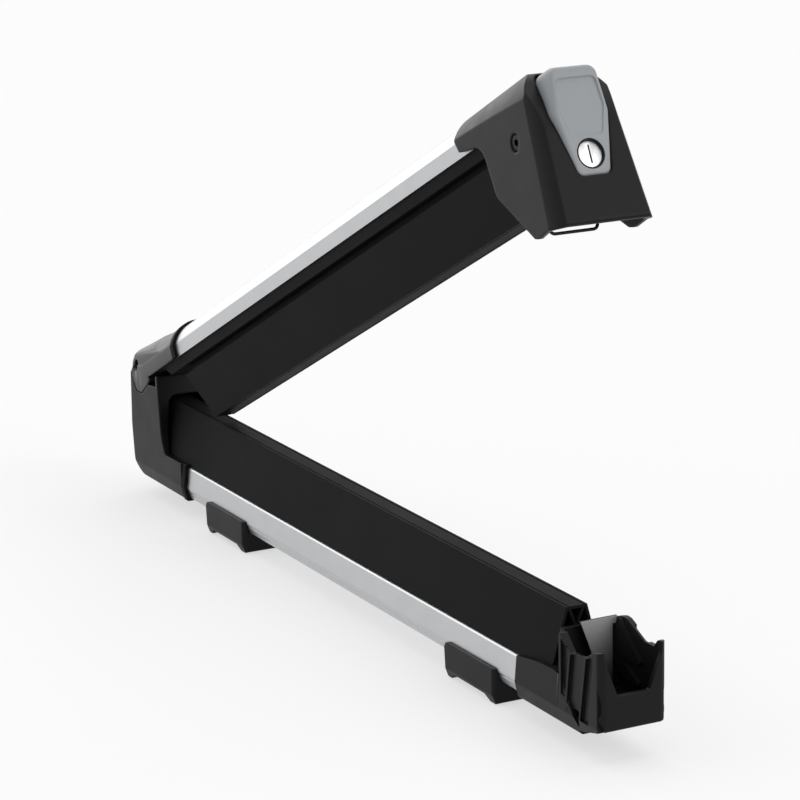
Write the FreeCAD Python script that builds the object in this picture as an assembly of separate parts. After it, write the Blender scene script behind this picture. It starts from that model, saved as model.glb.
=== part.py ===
import FreeCAD, Part
import math
import os

# Roof ski carrier: a lower arm that is clamped across a car's roof bars, and an upper arm
# that swings down on it and latches, with the skis held between two soft rubber extrusions.
#
# All sizes are in millimetres. X runs along the carrier from the hinge towards the latch,
# Y across it, Z up from the roof bar that the two feet stand on. While the pieces are made,
# x = 0 is the hinge axis; everything is moved to the middle of the carrier at the end. The
# upper arm is made lying parallel to the lower one and is then swung open about the hinge.

# Driving dimensions: the carrier as a whole
OPEN_ANGLE = 26.3            # degrees between the two arms as stored
HINGE_HEIGHT = 87.5          # hinge axis above the roof bar, carriage down
CLOSED_GAP = 1.0             # between the two rubbers with the arms closed
OPEN_GAP = 3.0               # between their ends near the hinge with the arms open
RUN_GAP = 0.3                # between pieces that move past each other
FIT_GAP = 0.2                # between a housing and the rail that it holds
SKIN = 1.5                   # how far the moulded ends stand proud of the rails

# Lower rail: a flat-sided extrusion with a T-slot below and a rubber channel on top
RAIL_BOTTOM = 13.2
RAIL_HEIGHT = 21.0
RAIL_HALF = 19.0             # at its widest, low on the side
RAIL_WIDEST_ABOVE = 7.0
RAIL_TOP_HALF = 17.5
RAIL_LIP_HALF = 16.6
RAIL_WALL = 2.0
RAIL_LOW_RADIUS = 0.8
RAIL_WAIST_RADIUS = 4.0
RAIL_EDGE_RADIUS = 1.4
RAIL_START = 16.0
RAIL_END = 545.0
GROOVE_ABOVE = 4.2
GROOVE_HEIGHT = 1.2
GROOVE_DEPTH = 1.4
SLOT_MOUTH_HALF = 4.4
SLOT_HALF = 8.4
SLOT_LIP = 2.2
SLOT_DEPTH = 8.2
CHANNEL_MOUTH_HALF = 9.0
CHANNEL_HALF = 12.6
CHANNEL_LIP = 1.8
CHANNEL_DEPTH = 6.4

# Rubber extrusions
BULB_HEIGHT = 35.0
ARM_BULB_HEIGHT = 32.6
BULB_BASE_HALF = 16.0
BULB_TIP_HALF = 6.6
BULB_WALL = 1.7
WEB_THICKNESS = 1.5
WEB_CROSSING = 0.66          # height of the webs' crossing, as a share of the bulb's height
TIP_LINE_INSET = 1.4         # fine line along each edge of the flat tip
TIP_LINE_WIDTH = 0.84
TIP_LINE_DEPTH = 0.5
RUBBER_START = 18.0
RUBBER_SHORT = 1.1           # the lower rubber ends this far inside the rail
FLANGE_HEIGHT = 6.7          # flange of the upper rubber, under the rail
FLANGE_HALF = 17.4
FLANGE_TAPER = 0.8
FLANGE_START = 41.5
FLANGE_SLANT = 7.0
NECK_HALF = 10.5
NECK_HEIGHT = 5.6
ARM_RUBBER_SLANT = 12.0      # slant of the upper bulb's end near the hinge
ARM_RUBBER_SHORT = 12.0      # the upper rubber ends this far inside its rail

# Upper rail: domed outside, open below for its rubber
ARM_BELOW_HINGE = 12.5       # lower edge of the arm's sides under the hinge axis
ARM_SIDE_HEIGHT = 8.7
ARM_DOME_HEIGHT = 12.7
ARM_HALF = 19.0
ARM_WALL = 2.0
ARM_RAIL_START = 30.0
ARM_OVERHANG = 15.0          # how far it reaches beyond the lower rail

# Hinge tower: moulded L-shaped end housing of the lower arm
TOWER_BACK = -8.8
TOWER_FRONT = 36.0
TOWER_FOOT_END = 71.5
TOWER_HALF = 20.5
TOWER_UNDER_RAIL = 1.8
TOWER_SIDE_DROP = 9.7        # top of the side walls behind the notch, below the hinge axis
TOWER_REAR_DROP = 5.8
TOWER_NOSE_DROP = 9.0        # middle of the rear wall, where the cap's nose turns
TOWER_ARCH_DROP = 0.5
TOWER_WALL = 2.4
TOWER_CORNER = 15.0
ARCH_CLEAR = 0.6             # between the arch and the foot of the rubber
ARCH_HALF_HIGH = 12.4
ARCH_DROP = 13.9
ARCH_RADIUS = 6.0
NOTCH_GAP = 0.9
NOTCH_LEFT = (-8.0, -5.3)            # corners from the hinge axis, as (x, z, radius)
NOTCH_LOW_LEFT = (1.2, -17.3, 5.0)
NOTCH_LOW_RIGHT = (10.0, -17.5, 4.0)
NOTCH_RIGHT = (20.4, -9.7)

# Hinge carriage: the block that carries the hinge pin and slides up in the tower
CARRIAGE_HALF_X = 6.0
CARRIAGE_HALF_Y = 10.6
CARRIAGE_ABOVE_RAIL = 5.0    # its lower end above the underside of the rail
CARRIAGE_POCKET_WALL = 2.0
GUIDE_WALL = 2.2
GUIDE_DROP = 15.3
PIN_RADIUS = 2.5
PIN_RUNNING_FIT = 0.05
PIN_BORE = 1.2               # hollow end of the pin
PIN_BORE_DEPTH = 2.0
PIN_RECESS_RADIUS = 3.7
PIN_RECESS = 3.3             # end of the pin below the cap's side
PIN_STAND = 1.4              # end of the pin above the floor of its recess

# Hinge cap: moulded end of the upper arm
CAP_END = 66.0
CAP_NOSE = 9.2
CHEEK_INNER = 14.0
GASKET_THICKNESS = 5.0
GASKET_PROUD = 0.5

# Latch housing: moulded far end of the upper arm, straddling the catch
LATCH_COVER = 3.1            # its front ahead of the catch's front
LATCH_LENGTH = 98.7
LATCH_DEPTH = 67.2           # how far it hangs below the arm's sides
LATCH_HALF_REAR = 26.0       # half widths at its lower edge
LATCH_HALF_FRONT = 30.6
LATCH_SIDE_LEAN = 0.0655     # how far the sides come in for each millimetre up
LATCH_ROOF_REAR = 23.5       # radii of the tapering round roof
LATCH_ROOF_FRONT = 26.6
LATCH_ROOF_RISE = 1.0
LATCH_CORNER_X = 12.2        # corner between side and front, at the lower edge
LATCH_CORNER_Y = 5.3
LATCH_CORNER_BULGE = 1.4
LATCH_CORNER_BACK = 6.6      # how far the corner leans back and in over the latch's height
LATCH_CORNER_IN = 6.2
LATCH_WALL = 2.5
LATCH_PIN_BACK = 30.2        # behind the latch's front
LATCH_PIN_DROP = 13.6        # below the arm's sides
LATCH_PIN_RADIUS = 4.0
LATCH_PIN_BORE = 1.9
LATCH_PIN_BORE_DEPTH = 2.6
LATCH_RECESS_RADIUS = 5.1
LATCH_RECESS = 1.6
LATCH_PIN_STAND = 0.8

# Catch housing: moulded far end of the lower arm, an open box behind a notched wall
CATCH_REACH = 56.6           # its front beyond the end of the rail
CATCH_SLEEVE = 89.1          # length from the front to the end of the sleeve
CATCH_HALF = 20.5
CATCH_RECESS_HALF = 18.8     # side walls between their ribs
CATCH_POCKET_HALF = 15.0     # deep pocket under the end of the sleeve
CATCH_INNER_HALF = 17.4
CATCH_REAR_BACK = 53.2       # rear of the cup, behind the front
CATCH_REAR_HALF = 12.6
CATCH_SIDE_BACK = 41.2
CATCH_FLOOR_ABOVE = 12.0     # heights above the underside of the rail
CATCH_RIM_ABOVE = 47.4
CATCH_EDGE_RADIUS = 4.0
CATCH_WALL = 2.4
FRONT_WALL = 3.0
HORN_ABOVE = 49.9
HORN_INNER = 16.9
NOTCH_FLOOR_ABOVE = 24.5
NOTCH_FLOOR_HALF = 9.7
STRIKE_BACK = 45.4           # light strike plate inside the cup
STRIKE_ABOVE = 51.2
STRIKE_THICKNESS = 1.6
TOOTH_INNER_HALF = 15.8      # the bail passes between the teeth of the two sides

# Feet: moulded saddles that slide under the lower rail, each held by a T-bolt
FOOT_INSET = 111.0           # from the hinge, and from the rail's end to the second foot's start
FOOT_NAMES = ("hinge_end", "catch_end")
FOOT_LENGTH = 57.0
FOOT_BLOCK = 12.0
FOOT_CORNER = 3.5
FOOT_HALF = 21.2
FOOT_TAPER = 1.6
JAW_HEIGHT = 7.4             # how far the foot's sides reach up beside the rail
FOOT_ARCH = 3.4
BOLT_RADIUS = 4.0
BOLT_HEAD_HALF = 6.5
BOLT_HEAD_HEIGHT = 5.0
BOLT_TIP = 1.4               # lower end of the bolt above the roof bar
NUT_LOW = 2.4
NUT_FLATS = 13.0
NUT_HEIGHT = 6.5

# Hexagon screws that hold the tower and the catch under the lower rail
SCREW_HALF_SPACING = 13.0
SCREW_FLATS = 4.0
SCREW_INSET = 11.0

# Push button, lock and bail in the latch
BUTTON_BACK = 1.8            # its face behind the latch's lower front edge, at the lock's height
BUTTON_LEAN = 0.05
BUTTON_DEPTH = 15.0
BUTTON_CROWN = 0.9
BUTTON_SKIRT = 2.9           # how far its sides flare towards the housing
BUTTON_FLARE = 5.0
BUTTON_WALL = 2.0
BUTTON_TRAVEL = 4.0
BUTTON_GAP = 0.5
BUTTON_OUTLINE = ((8.4, -10.0, 2.4), (14.3, 22.0, 8.0), (12.0, 45.0, 2.4))   # from the lock:
PANEL_OUTLINE = ((9.0, 9.0, 1.8), (11.9, 25.0, 8.0), (9.8, 41.2, 1.8))       # half width, z, radius
BUTTON_FLATS = 4             # each round of these outlines is drawn with so many flats
PANEL_DEPTH = 1.0
PUSHER_GAP = 0.7             # slack before the button moves the lever
PUSHER_HEIGHT = 3.0
LOCK_DROP = 30.8             # centre of the lock below the arm's sides
LOCK_RADIUS = 7.5
LOCK_LENGTH = 14.0
LOCK_INSET = 0.5
LOCK_SLOT_HALF = 5.2
LOCK_SLOT_WIDTH = 1.0
CAM_THICKNESS = 1.8
CAM_HALF = 3.0
CAM_REACH = 7.4
BAIL_WIRE = 0.9
BAIL_FLATS = 8               # the wire's round section is drawn with eight flats
BAIL_BEND = 2.2
BAIL_HALF = 14.5
BAIL_BACK = 36.1             # cross bar behind the latch's front
BAIL_RISE = 4.8              # cross bar above the latch's lower edge
BAIL_EYE_DROP = 32.8
BAIL_EYE_AHEAD = 4.2
LEVER_PUSH_RISE = 5.2        # where the button meets the lever, above the arm's sides
LEVER_RADIUS = 6.4
LEVER_PAD_HALF = 8.0

RAIL_TOP = RAIL_BOTTOM + RAIL_HEIGHT
RAIL_WIDEST_AT = RAIL_BOTTOM + RAIL_WIDEST_ABOVE
TOWER_BOTTOM = RAIL_BOTTOM - TOWER_UNDER_RAIL
TOWER_TOP = HINGE_HEIGHT - TOWER_ARCH_DROP
ARM_LIP_Z = HINGE_HEIGHT - ARM_BELOW_HINGE
DOME_EDGE_Z = ARM_LIP_Z + ARM_SIDE_HEIGHT
CROWN_Z = DOME_EDGE_Z + ARM_DOME_HEIGHT
ARM_RAIL_END = RAIL_END + ARM_OVERHANG
RUBBER_TOP = RAIL_TOP + FIT_GAP + BULB_HEIGHT
FLANGE_BOTTOM = ARM_LIP_Z - FLANGE_HEIGHT
ARM_BULB_BASE = FLANGE_BOTTOM - NECK_HEIGHT
ARM_BULB_TIP = ARM_BULB_BASE - ARM_BULB_HEIGHT
HINGE_LIFT = RUBBER_TOP + CLOSED_GAP - ARM_BULB_TIP
CATCH_FRONT = RAIL_END + CATCH_REACH
CATCH_START = CATCH_FRONT - CATCH_SLEEVE
LATCH_FRONT = CATCH_FRONT + LATCH_COVER
LATCH_START = LATCH_FRONT - LATCH_LENGTH
LATCH_LOW_Z = ARM_LIP_Z - LATCH_DEPTH
LATCH_PIN_X = LATCH_FRONT - LATCH_PIN_BACK
LATCH_PIN_Z = ARM_LIP_Z - LATCH_PIN_DROP
BUTTON_FACE_X = LATCH_FRONT - BUTTON_BACK
LOCK_Z = ARM_LIP_Z - LOCK_DROP
BAIL_X = LATCH_FRONT - BAIL_BACK
BAIL_Z = LATCH_LOW_Z + BAIL_RISE
BAIL_EYE_X = BAIL_X + BAIL_EYE_AHEAD
BAIL_EYE_Z = ARM_LIP_Z - BAIL_EYE_DROP
LEVER_HALF = BAIL_HALF - BAIL_BEND - FIT_GAP
LEVER_PUSH_Z = ARM_LIP_Z + LEVER_PUSH_RISE
JAW_TOP = RAIL_BOTTOM + JAW_HEIGHT
FOOT_STARTS = (FOOT_INSET, RAIL_END - FOOT_INSET)


def vec(x, y, z):
    return FreeCAD.Vector(x, y, z)


def rounded_corner(before, here, after, radius):
    """Start, middle and end of the arc that rounds one corner."""
    back = (before - here).normalize()
    ahead = (after - here).normalize()
    half = back.getAngle(ahead) / 2
    reach = radius / math.tan(half)
    centre = here + (back + ahead).normalize() * (radius / math.sin(half))
    middle = centre + (here - centre).normalize() * radius
    return here + back * reach, middle, here + ahead * reach


def rounded_wire(corners, place):
    """Closed wire through (u, v) or (u, v, radius) corners, each rounded by its own radius."""
    points = [FreeCAD.Vector(c[0], c[1], 0) for c in corners]
    stations = []
    for i, corner in enumerate(corners):
        if len(corner) < 3:
            stations.append((points[i], points[i], points[i]))
        else:
            after = points[(i + 1) % len(points)]
            stations.append(rounded_corner(points[i - 1], points[i], after, corner[2]))
    edges = []
    for i, (start, middle, end) in enumerate(stations):
        following = stations[(i + 1) % len(stations)][0]
        if (end - start).Length > 1e-6:
            edges.append(Part.Arc(place(start), place(middle), place(end)).toShape())
        if (following - end).Length > 1e-6:
            edges.append(Part.LineSegment(place(end), place(following)).toShape())
    return Part.Wire(edges)


def grown(outline, by):
    """Outline of (u, v, radius) corners, listed anticlockwise, moved outwards by one distance."""
    points = [FreeCAD.Vector(c[0], c[1], 0) for c in outline]
    moved = []
    for i, corner in enumerate(outline):
        into = (points[i] - points[i - 1]).normalize()
        away = (points[(i + 1) % len(points)] - points[i]).normalize()
        out = FreeCAD.Vector(into.y + away.y, -into.x - away.x, 0)
        shift = out * (by / (1 + into.dot(away)))
        moved.append((corner[0] + shift.x, corner[1] + shift.y, corner[2] + by))
    return moved


def along_x(corners, start, end):
    """Solid with a (y, z) section, from x = start to x = end."""
    wire = rounded_wire(corners, lambda p: vec(start, p.x, p.y))
    return Part.Face(wire).extrude(vec(end - start, 0, 0))


def along_y(corners, start, end):
    """Solid with an (x, z) side view, from y = start to y = end."""
    wire = rounded_wire(corners, lambda p: vec(p.x, start, p.y))
    return Part.Face(wire).extrude(vec(0, end - start, 0))


def along_z(corners, start, end):
    """Solid with an (x, y) plan, from z = start to z = end."""
    wire = rounded_wire(corners, lambda p: vec(p.x, p.y, start))
    return Part.Face(wire).extrude(vec(0, 0, end - start))


def across(corners, half):
    return along_y(corners, -half, half)


def seen_from(x, z, corners):
    """Corners given as distances back from x and up from z, turned into (x, z, radius)."""
    return [(x - c[0], z + c[1]) + tuple(c[2:]) for c in corners]


def mirrored(right):
    """Full outline from the right-hand corners, listed from the bottom up."""
    left = [(-c[0],) + tuple(c[1:]) for c in reversed(right)]
    return list(right) + left


def mirrored_plan(right):
    """Closed plan from the (x, y) corners of the +Y side, listed from the rear to the front."""
    return list(right) + [(c[0], -c[1]) + tuple(c[2:]) for c in reversed(right)]


def box(x0, x1, y0, y1, z0, z1):
    return Part.makeBox(x1 - x0, y1 - y0, z1 - z0, vec(x0, y0, z0))


def rod(start, direction, radius, length):
    return Part.makeCylinder(radius, length, start, direction)


def hexagon(x, y, flats, low, high):
    """Upright hexagonal prism, by its width across the flats."""
    corner = flats / math.sqrt(3)
    turns = [math.radians(60 * k) for k in range(6)]
    return along_z([(x + corner * math.cos(t), y + corner * math.sin(t)) for t in turns], low, high)


def cross_rod(x, z, radius, half):
    """Rod across the carrier, from y = -half to y = half."""
    return rod(vec(x, -half, z), vec(0, 1, 0), radius, 2 * half)


def flipped(shape):
    return shape.mirror(vec(0, 0, 0), vec(0, 1, 0))


def both_sides(shape):
    return shape.fuse(flipped(shape))


def largest(shape):
    """The one solid of a cut, without any crumb that a slanting cut leaves."""
    return max(shape.Solids, key=lambda s: s.Volume)


def swung(shape):
    """Turn a piece of the upper arm from lying flat to its open place."""
    turned = shape.copy()
    turned.rotate(vec(0, 0, HINGE_HEIGHT), vec(0, -1, 0), OPEN_ANGLE)
    return turned


# Lower rail

def rail_outline(grow=0.0):
    return mirrored([
        (RAIL_LIP_HALF + grow, RAIL_BOTTOM - grow, RAIL_LOW_RADIUS),
        (RAIL_HALF + grow, RAIL_WIDEST_AT, RAIL_WAIST_RADIUS),
        (RAIL_TOP_HALF + grow, RAIL_TOP + grow, RAIL_EDGE_RADIUS),
    ])


def channel_section(mouth_z, up, gap=0.0):
    """Undercut channel for a rubber foot; up is -1 where it opens upwards, +1 downwards."""
    lip = mouth_z + up * (CHANNEL_LIP + gap)
    floor = mouth_z + up * (CHANNEL_DEPTH - gap)
    mouth = mouth_z - up * (1 if gap == 0 else FIT_GAP)
    return mirrored([
        (CHANNEL_MOUTH_HALF - gap, mouth),
        (CHANNEL_MOUTH_HALF - gap, lip),
        (CHANNEL_HALF - gap, lip),
        (CHANNEL_HALF - gap, floor),
    ])


def groove_floor():
    """Distance of the side groove's floor from the middle of the rail."""
    return RAIL_HALF - GROOVE_DEPTH


def lower_rail():
    slot = mirrored([
        (SLOT_MOUTH_HALF, RAIL_BOTTOM - 1),
        (SLOT_MOUTH_HALF, RAIL_BOTTOM + SLOT_LIP),
        (SLOT_HALF, RAIL_BOTTOM + SLOT_LIP),
        (SLOT_HALF, RAIL_BOTTOM + SLOT_DEPTH),
    ])
    inner = SLOT_HALF + RAIL_WALL
    chamber_top = RAIL_TOP - CHANNEL_DEPTH - RAIL_WALL
    chamber = [
        (inner, RAIL_BOTTOM + RAIL_WALL),
        (RAIL_LIP_HALF - RAIL_WALL, RAIL_BOTTOM + RAIL_WALL),
        (RAIL_HALF - RAIL_WALL, RAIL_WIDEST_AT),
        (RAIL_HALF - RAIL_WALL, chamber_top),
        (inner, chamber_top),
    ]
    groove_low = RAIL_BOTTOM + GROOVE_ABOVE
    groove = [
        (groove_floor(), groove_low),
        (RAIL_HALF + 1, groove_low),
        (RAIL_HALF + 1, groove_low + GROOVE_HEIGHT),
        (groove_floor(), groove_low + GROOVE_HEIGHT),
    ]
    cuts = [along_x(section, RAIL_START, RAIL_END)
            for section in (slot, channel_section(RAIL_TOP, -1), chamber, groove)]
    cuts.extend([flipped(cuts[2]), flipped(cuts[3])])
    return along_x(rail_outline(), RAIL_START, RAIL_END).cut(cuts)


# Rubber extrusions

def web(x0, x1, low, high):
    """Straight inner web of the rubber between two (y, z) points."""
    run = FreeCAD.Vector(high[0] - low[0], high[1] - low[1], 0).normalize()
    side = FreeCAD.Vector(-run.y, run.x, 0) * (WEB_THICKNESS / 2)
    section = [
        (low[0] + side.x, low[1] + side.y),
        (low[0] - side.x, low[1] - side.y),
        (high[0] - side.x, high[1] - side.y),
        (high[0] + side.x, high[1] + side.y),
    ]
    return along_x(section, x0, x1)


def bulb(x0, x1, base_z, up, height):
    """Hollow wedge with crossed webs; up is +1 where the tip points up and -1 where it hangs."""
    def at(half, level):
        return (half, base_z + up * level)

    def half_at(level):
        return BULB_BASE_HALF + (BULB_TIP_HALF - BULB_BASE_HALF) * level / height

    line = BULB_TIP_HALF - TIP_LINE_INSET
    outside = mirrored([
        at(BULB_BASE_HALF, 0),
        at(BULB_TIP_HALF, height),
        at(line, height),
        at(line, height - TIP_LINE_DEPTH),
        at(line - TIP_LINE_WIDTH, height - TIP_LINE_DEPTH),
        at(line - TIP_LINE_WIDTH, height),
    ])
    inner_low, inner_high = BULB_WALL, height - BULB_WALL
    inside = mirrored([
        at(half_at(inner_low) - BULB_WALL, inner_low),
        at(half_at(inner_high) - BULB_WALL, inner_high),
    ])
    hollow = along_x(inside, x0 - 1, x1 + 1)
    cross = at(0, height * WEB_CROSSING)
    webs = []
    for side in (-1, 1):
        webs.append(web(x0 - 1, x1 + 1, cross, at(side * (BULB_TIP_HALF - BULB_WALL), height)))
        webs.append(web(x0 - 1, x1 + 1, at(side * (BULB_BASE_HALF - BULB_WALL), 0), cross))
    return along_x(outside, x0, x1).cut(hollow.cut(webs))


def lower_rubber():
    end = RAIL_END - RUBBER_SHORT
    foot = along_x(channel_section(RAIL_TOP, -1, FIT_GAP), RUBBER_START, end)
    body = bulb(RUBBER_START, end, RAIL_TOP + FIT_GAP, 1, BULB_HEIGHT)
    return body.fuse(foot).removeSplitter()


def upper_bulb_start():
    """Where the hanging bulb begins: OPEN_GAP above the lower rubber as the arms stand open."""
    angle = math.radians(OPEN_ANGLE)
    drop = (HINGE_HEIGHT - ARM_BULB_TIP) * math.cos(angle)
    return (RUBBER_TOP + OPEN_GAP - HINGE_HEIGHT + drop) / math.sin(angle)


def upper_rubber():
    end = ARM_RAIL_END - ARM_RUBBER_SHORT
    tip_start = upper_bulb_start()
    base_start = tip_start - ARM_RUBBER_SLANT
    flange = along_x(mirrored([
        (FLANGE_HALF - FLANGE_TAPER, FLANGE_BOTTOM),
        (FLANGE_HALF, ARM_LIP_Z - FIT_GAP),
    ]), FLANGE_START, end)
    flange = flange.cut(across([
        (FLANGE_START - 1, ARM_LIP_Z),
        (FLANGE_START, ARM_LIP_Z),
        (FLANGE_START + FLANGE_SLANT, FLANGE_BOTTOM),
        (FLANGE_START + FLANGE_SLANT, FLANGE_BOTTOM - 1),
        (FLANGE_START - 1, FLANGE_BOTTOM - 1),
    ], FLANGE_HALF + 1))
    foot = along_x(channel_section(ARM_LIP_Z, 1, FIT_GAP), FLANGE_START + FLANGE_SLANT, end)
    neck = box(base_start, end, -NECK_HALF, NECK_HALF, ARM_BULB_BASE, FLANGE_BOTTOM)
    body = bulb(base_start, end, ARM_BULB_BASE, -1, ARM_BULB_HEIGHT)
    slant = across([
        (base_start - 1, ARM_BULB_BASE),
        (base_start, ARM_BULB_BASE),
        (tip_start, ARM_BULB_TIP),
        (tip_start, ARM_BULB_TIP - 1),
        (base_start - 1, ARM_BULB_TIP - 1),
    ], BULB_BASE_HALF + 1)
    return body.cut(slant).fuse([neck, flange, foot]).removeSplitter()


# Upper rail

def dome_face(x, half, low, edge, crown):
    """Section with straight sides and a round top, at one x."""
    arc = Part.Arc(vec(x, half, edge), vec(x, 0, crown), vec(x, -half, edge)).toShape()
    sides = [
        Part.LineSegment(vec(x, -half, edge), vec(x, -half, low)).toShape(),
        Part.LineSegment(vec(x, -half, low), vec(x, half, low)).toShape(),
        Part.LineSegment(vec(x, half, low), vec(x, half, edge)).toShape(),
    ]
    return Part.Face(Part.Wire([arc] + sides))


def dome_prism(x0, x1, grow, low):
    """The arm's outside from x0 to x1, grown all round and reaching down to low."""
    face = dome_face(x0, ARM_HALF + grow, low, DOME_EDGE_Z, CROWN_Z + grow)
    return face.extrude(vec(x1 - x0, 0, 0))


def upper_rail():
    rail = dome_prism(ARM_RAIL_START, ARM_RAIL_END, 0.0, ARM_LIP_Z)
    floor = ARM_LIP_Z + CHANNEL_DEPTH + ARM_WALL
    hollow = dome_face(ARM_RAIL_START, ARM_HALF - 1.8 * ARM_WALL, floor, floor + 0.6, CROWN_Z - ARM_WALL)
    hollow = hollow.extrude(vec(ARM_RAIL_END - ARM_RAIL_START, 0, 0))
    channel = along_x(channel_section(ARM_LIP_Z, 1), ARM_RAIL_START, ARM_RAIL_END)
    return rail.cut([hollow, channel])


# Hinge tower

def tower_profile(grow=0.0):
    """Side view of the tower's outer shell; grow is negative for the cavity."""
    back, front = TOWER_BACK - grow, TOWER_FRONT + grow
    bottom = TOWER_BOTTOM - grow
    foot_top = RAIL_TOP + SKIN + grow
    return [
        (back + 4, bottom, TOWER_CORNER + grow),
        (TOWER_FOOT_END, bottom),
        (TOWER_FOOT_END, foot_top),
        (front + 9.4, foot_top, 3.0),
        (front + 4.0, RAIL_TOP + 12.0, 30.0),
        (front, TOWER_TOP),
        (back + 1, TOWER_TOP),
        (back, RAIL_TOP + 11.2, 30.0),
    ]


def tower_section(grow=0.0):
    """Section across the tower: widest low down, drawn in a little at the bottom."""
    return mirrored([
        (RAIL_LIP_HALF + SKIN + grow, TOWER_BOTTOM - grow, 1.5),
        (TOWER_HALF + grow, RAIL_WIDEST_AT, 5.0),
        (TOWER_HALF + grow, TOWER_TOP + 1),
    ])


def notch_outline(gap):
    """Side view of the notch in the side walls; gap draws it in for the cap's leg."""
    left_x, left_z, left_r = NOTCH_LOW_LEFT
    right_x, right_z, right_r = NOTCH_LOW_RIGHT
    return [
        (NOTCH_LEFT[0] + gap, HINGE_HEIGHT + NOTCH_LEFT[1]),
        (left_x + gap * 0.7, HINGE_HEIGHT + left_z + gap, left_r - gap),
        (right_x - gap * 0.3, HINGE_HEIGHT + right_z + gap, right_r),
        (NOTCH_RIGHT[0] - gap, HINGE_HEIGHT + NOTCH_RIGHT[1] + gap * 0.6),
    ]


def tower_notch():
    outline = notch_outline(0.0) + [
        (NOTCH_RIGHT[0] + 3, TOWER_TOP + 2),
        (NOTCH_LEFT[0] - 3, TOWER_TOP + 2),
    ]
    return along_y(outline, -TOWER_HALF - 1, -TOWER_HALF + TOWER_WALL + 1)


def screw_holes(x):
    """Pair of pockets for the screws' heads under the lower rail."""
    return [hexagon(x, side * SCREW_HALF_SPACING, SCREW_FLATS + 2 * FIT_GAP, TOWER_BOTTOM - 2,
                    RAIL_BOTTOM + 2) for side in (-1, 1)]


def rubber_gap(start, end, height):
    """Room above the rail for the rubber, through a sleeve that holds the rail."""
    half = RAIL_TOP_HALF - 1.2
    return box(start, end, -half, half, RAIL_TOP - 1, RAIL_TOP + height)


def tower_tops():
    """What the tower's side walls and rear wall lack below the top of its arch."""
    side_top = HINGE_HEIGHT - TOWER_SIDE_DROP
    wall_start = TOWER_HALF - TOWER_WALL - 0.1
    sides = both_sides(along_y([
        (NOTCH_RIGHT[0] - 8, side_top),
        (TOWER_FRONT - TOWER_WALL, side_top + 1.8),
        (TOWER_FRONT - TOWER_WALL, TOWER_TOP + 2),
        (NOTCH_RIGHT[0] - 8, TOWER_TOP + 2),
    ], wall_start, TOWER_HALF + 3))
    rear = box(TOWER_BACK - 2, NOTCH_LEFT[0] + 8, -TOWER_HALF - 2, TOWER_HALF + 2,
               HINGE_HEIGHT - TOWER_REAR_DROP, TOWER_TOP + 2)
    nose = box(TOWER_BACK - 2, NOTCH_LEFT[0] + 8, -wall_start, wall_start,
               HINGE_HEIGHT - TOWER_NOSE_DROP, TOWER_TOP + 2)
    return [sides, rear, nose]


def hinge_tower():
    outer = across(tower_profile(), TOWER_HALF + 2)
    outer = outer.common(along_x(tower_section(), TOWER_BACK - 1, TOWER_FOOT_END + 1))
    inner = across(tower_profile(-TOWER_WALL), TOWER_HALF)
    inner = inner.common(along_x(tower_section(-TOWER_WALL), TOWER_BACK, TOWER_FRONT - TOWER_WALL))
    inner_half = TOWER_HALF - TOWER_WALL
    inner = inner.fuse(box(TOWER_BACK + 1.5 * TOWER_WALL, TOWER_FRONT - TOWER_WALL, -inner_half,
                           inner_half, HINGE_HEIGHT - GUIDE_DROP, TOWER_TOP + 2))
    rail_space = along_x(rail_outline(FIT_GAP), RAIL_START - FIT_GAP, TOWER_FOOT_END + 1)
    arch = along_x(mirrored([
        (BULB_BASE_HALF + ARCH_CLEAR, RAIL_TOP - 2),
        (ARCH_HALF_HIGH, HINGE_HEIGHT - ARCH_DROP, ARCH_RADIUS),
    ]), TOWER_FRONT - TOWER_WALL - 1, TOWER_FRONT + 14)
    cuts = [inner, rail_space, rubber_gap(TOWER_FRONT - 1, TOWER_FOOT_END + 1, 6), arch]
    shell = outer.cut(cuts + tower_tops() + [both_sides(tower_notch())])
    guide_x = CARRIAGE_HALF_X + RUN_GAP
    guide_y = CARRIAGE_HALF_Y + RUN_GAP
    chimney = box(TOWER_BACK + TOWER_WALL - 0.5, guide_x + GUIDE_WALL, -guide_y - GUIDE_WALL,
                  guide_y + GUIDE_WALL, TOWER_BOTTOM + 1, HINGE_HEIGHT - GUIDE_DROP)
    chimney = chimney.common(across(tower_profile(-1.0), TOWER_HALF))
    bore = box(-guide_x, guide_x, -guide_y, guide_y, TOWER_BOTTOM + TOWER_WALL * 2, TOWER_TOP + 5)
    tower = shell.fuse(chimney).cut([bore] + screw_holes(TOWER_FOOT_END - SCREW_INSET))
    return tower.removeSplitter()


def lower_gasket():
    start = TOWER_FOOT_END
    end = start + GASKET_THICKNESS
    ring = along_x(rail_outline(SKIN + GASKET_PROUD), start, end)
    hole = along_x(rail_outline(FIT_GAP), start - 1, end + 1)
    return ring.cut([hole, rubber_gap(start - 1, end + 1, 6)])


# Hinge carriage and pin

def hinge_carriage():
    bottom = RAIL_BOTTOM + CARRIAGE_ABOVE_RAIL
    body = box(-CARRIAGE_HALF_X, CARRIAGE_HALF_X, -CARRIAGE_HALF_Y, CARRIAGE_HALF_Y, bottom, HINGE_HEIGHT)
    head = cross_rod(0, HINGE_HEIGHT, CARRIAGE_HALF_X, CARRIAGE_HALF_Y)
    bore = cross_rod(0, HINGE_HEIGHT, PIN_RADIUS + PIN_RUNNING_FIT, CARRIAGE_HALF_Y + 1)
    pocket_half = CARRIAGE_HALF_X - CARRIAGE_POCKET_WALL
    pocket = box(-pocket_half, pocket_half, -CARRIAGE_HALF_Y - 1, -CARRIAGE_POCKET_WALL,
                 bottom + 3 * CARRIAGE_POCKET_WALL, HINGE_HEIGHT - 5 * CARRIAGE_POCKET_WALL)
    return body.fuse(head).cut([bore, pocket, flipped(pocket)]).removeSplitter()


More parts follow.
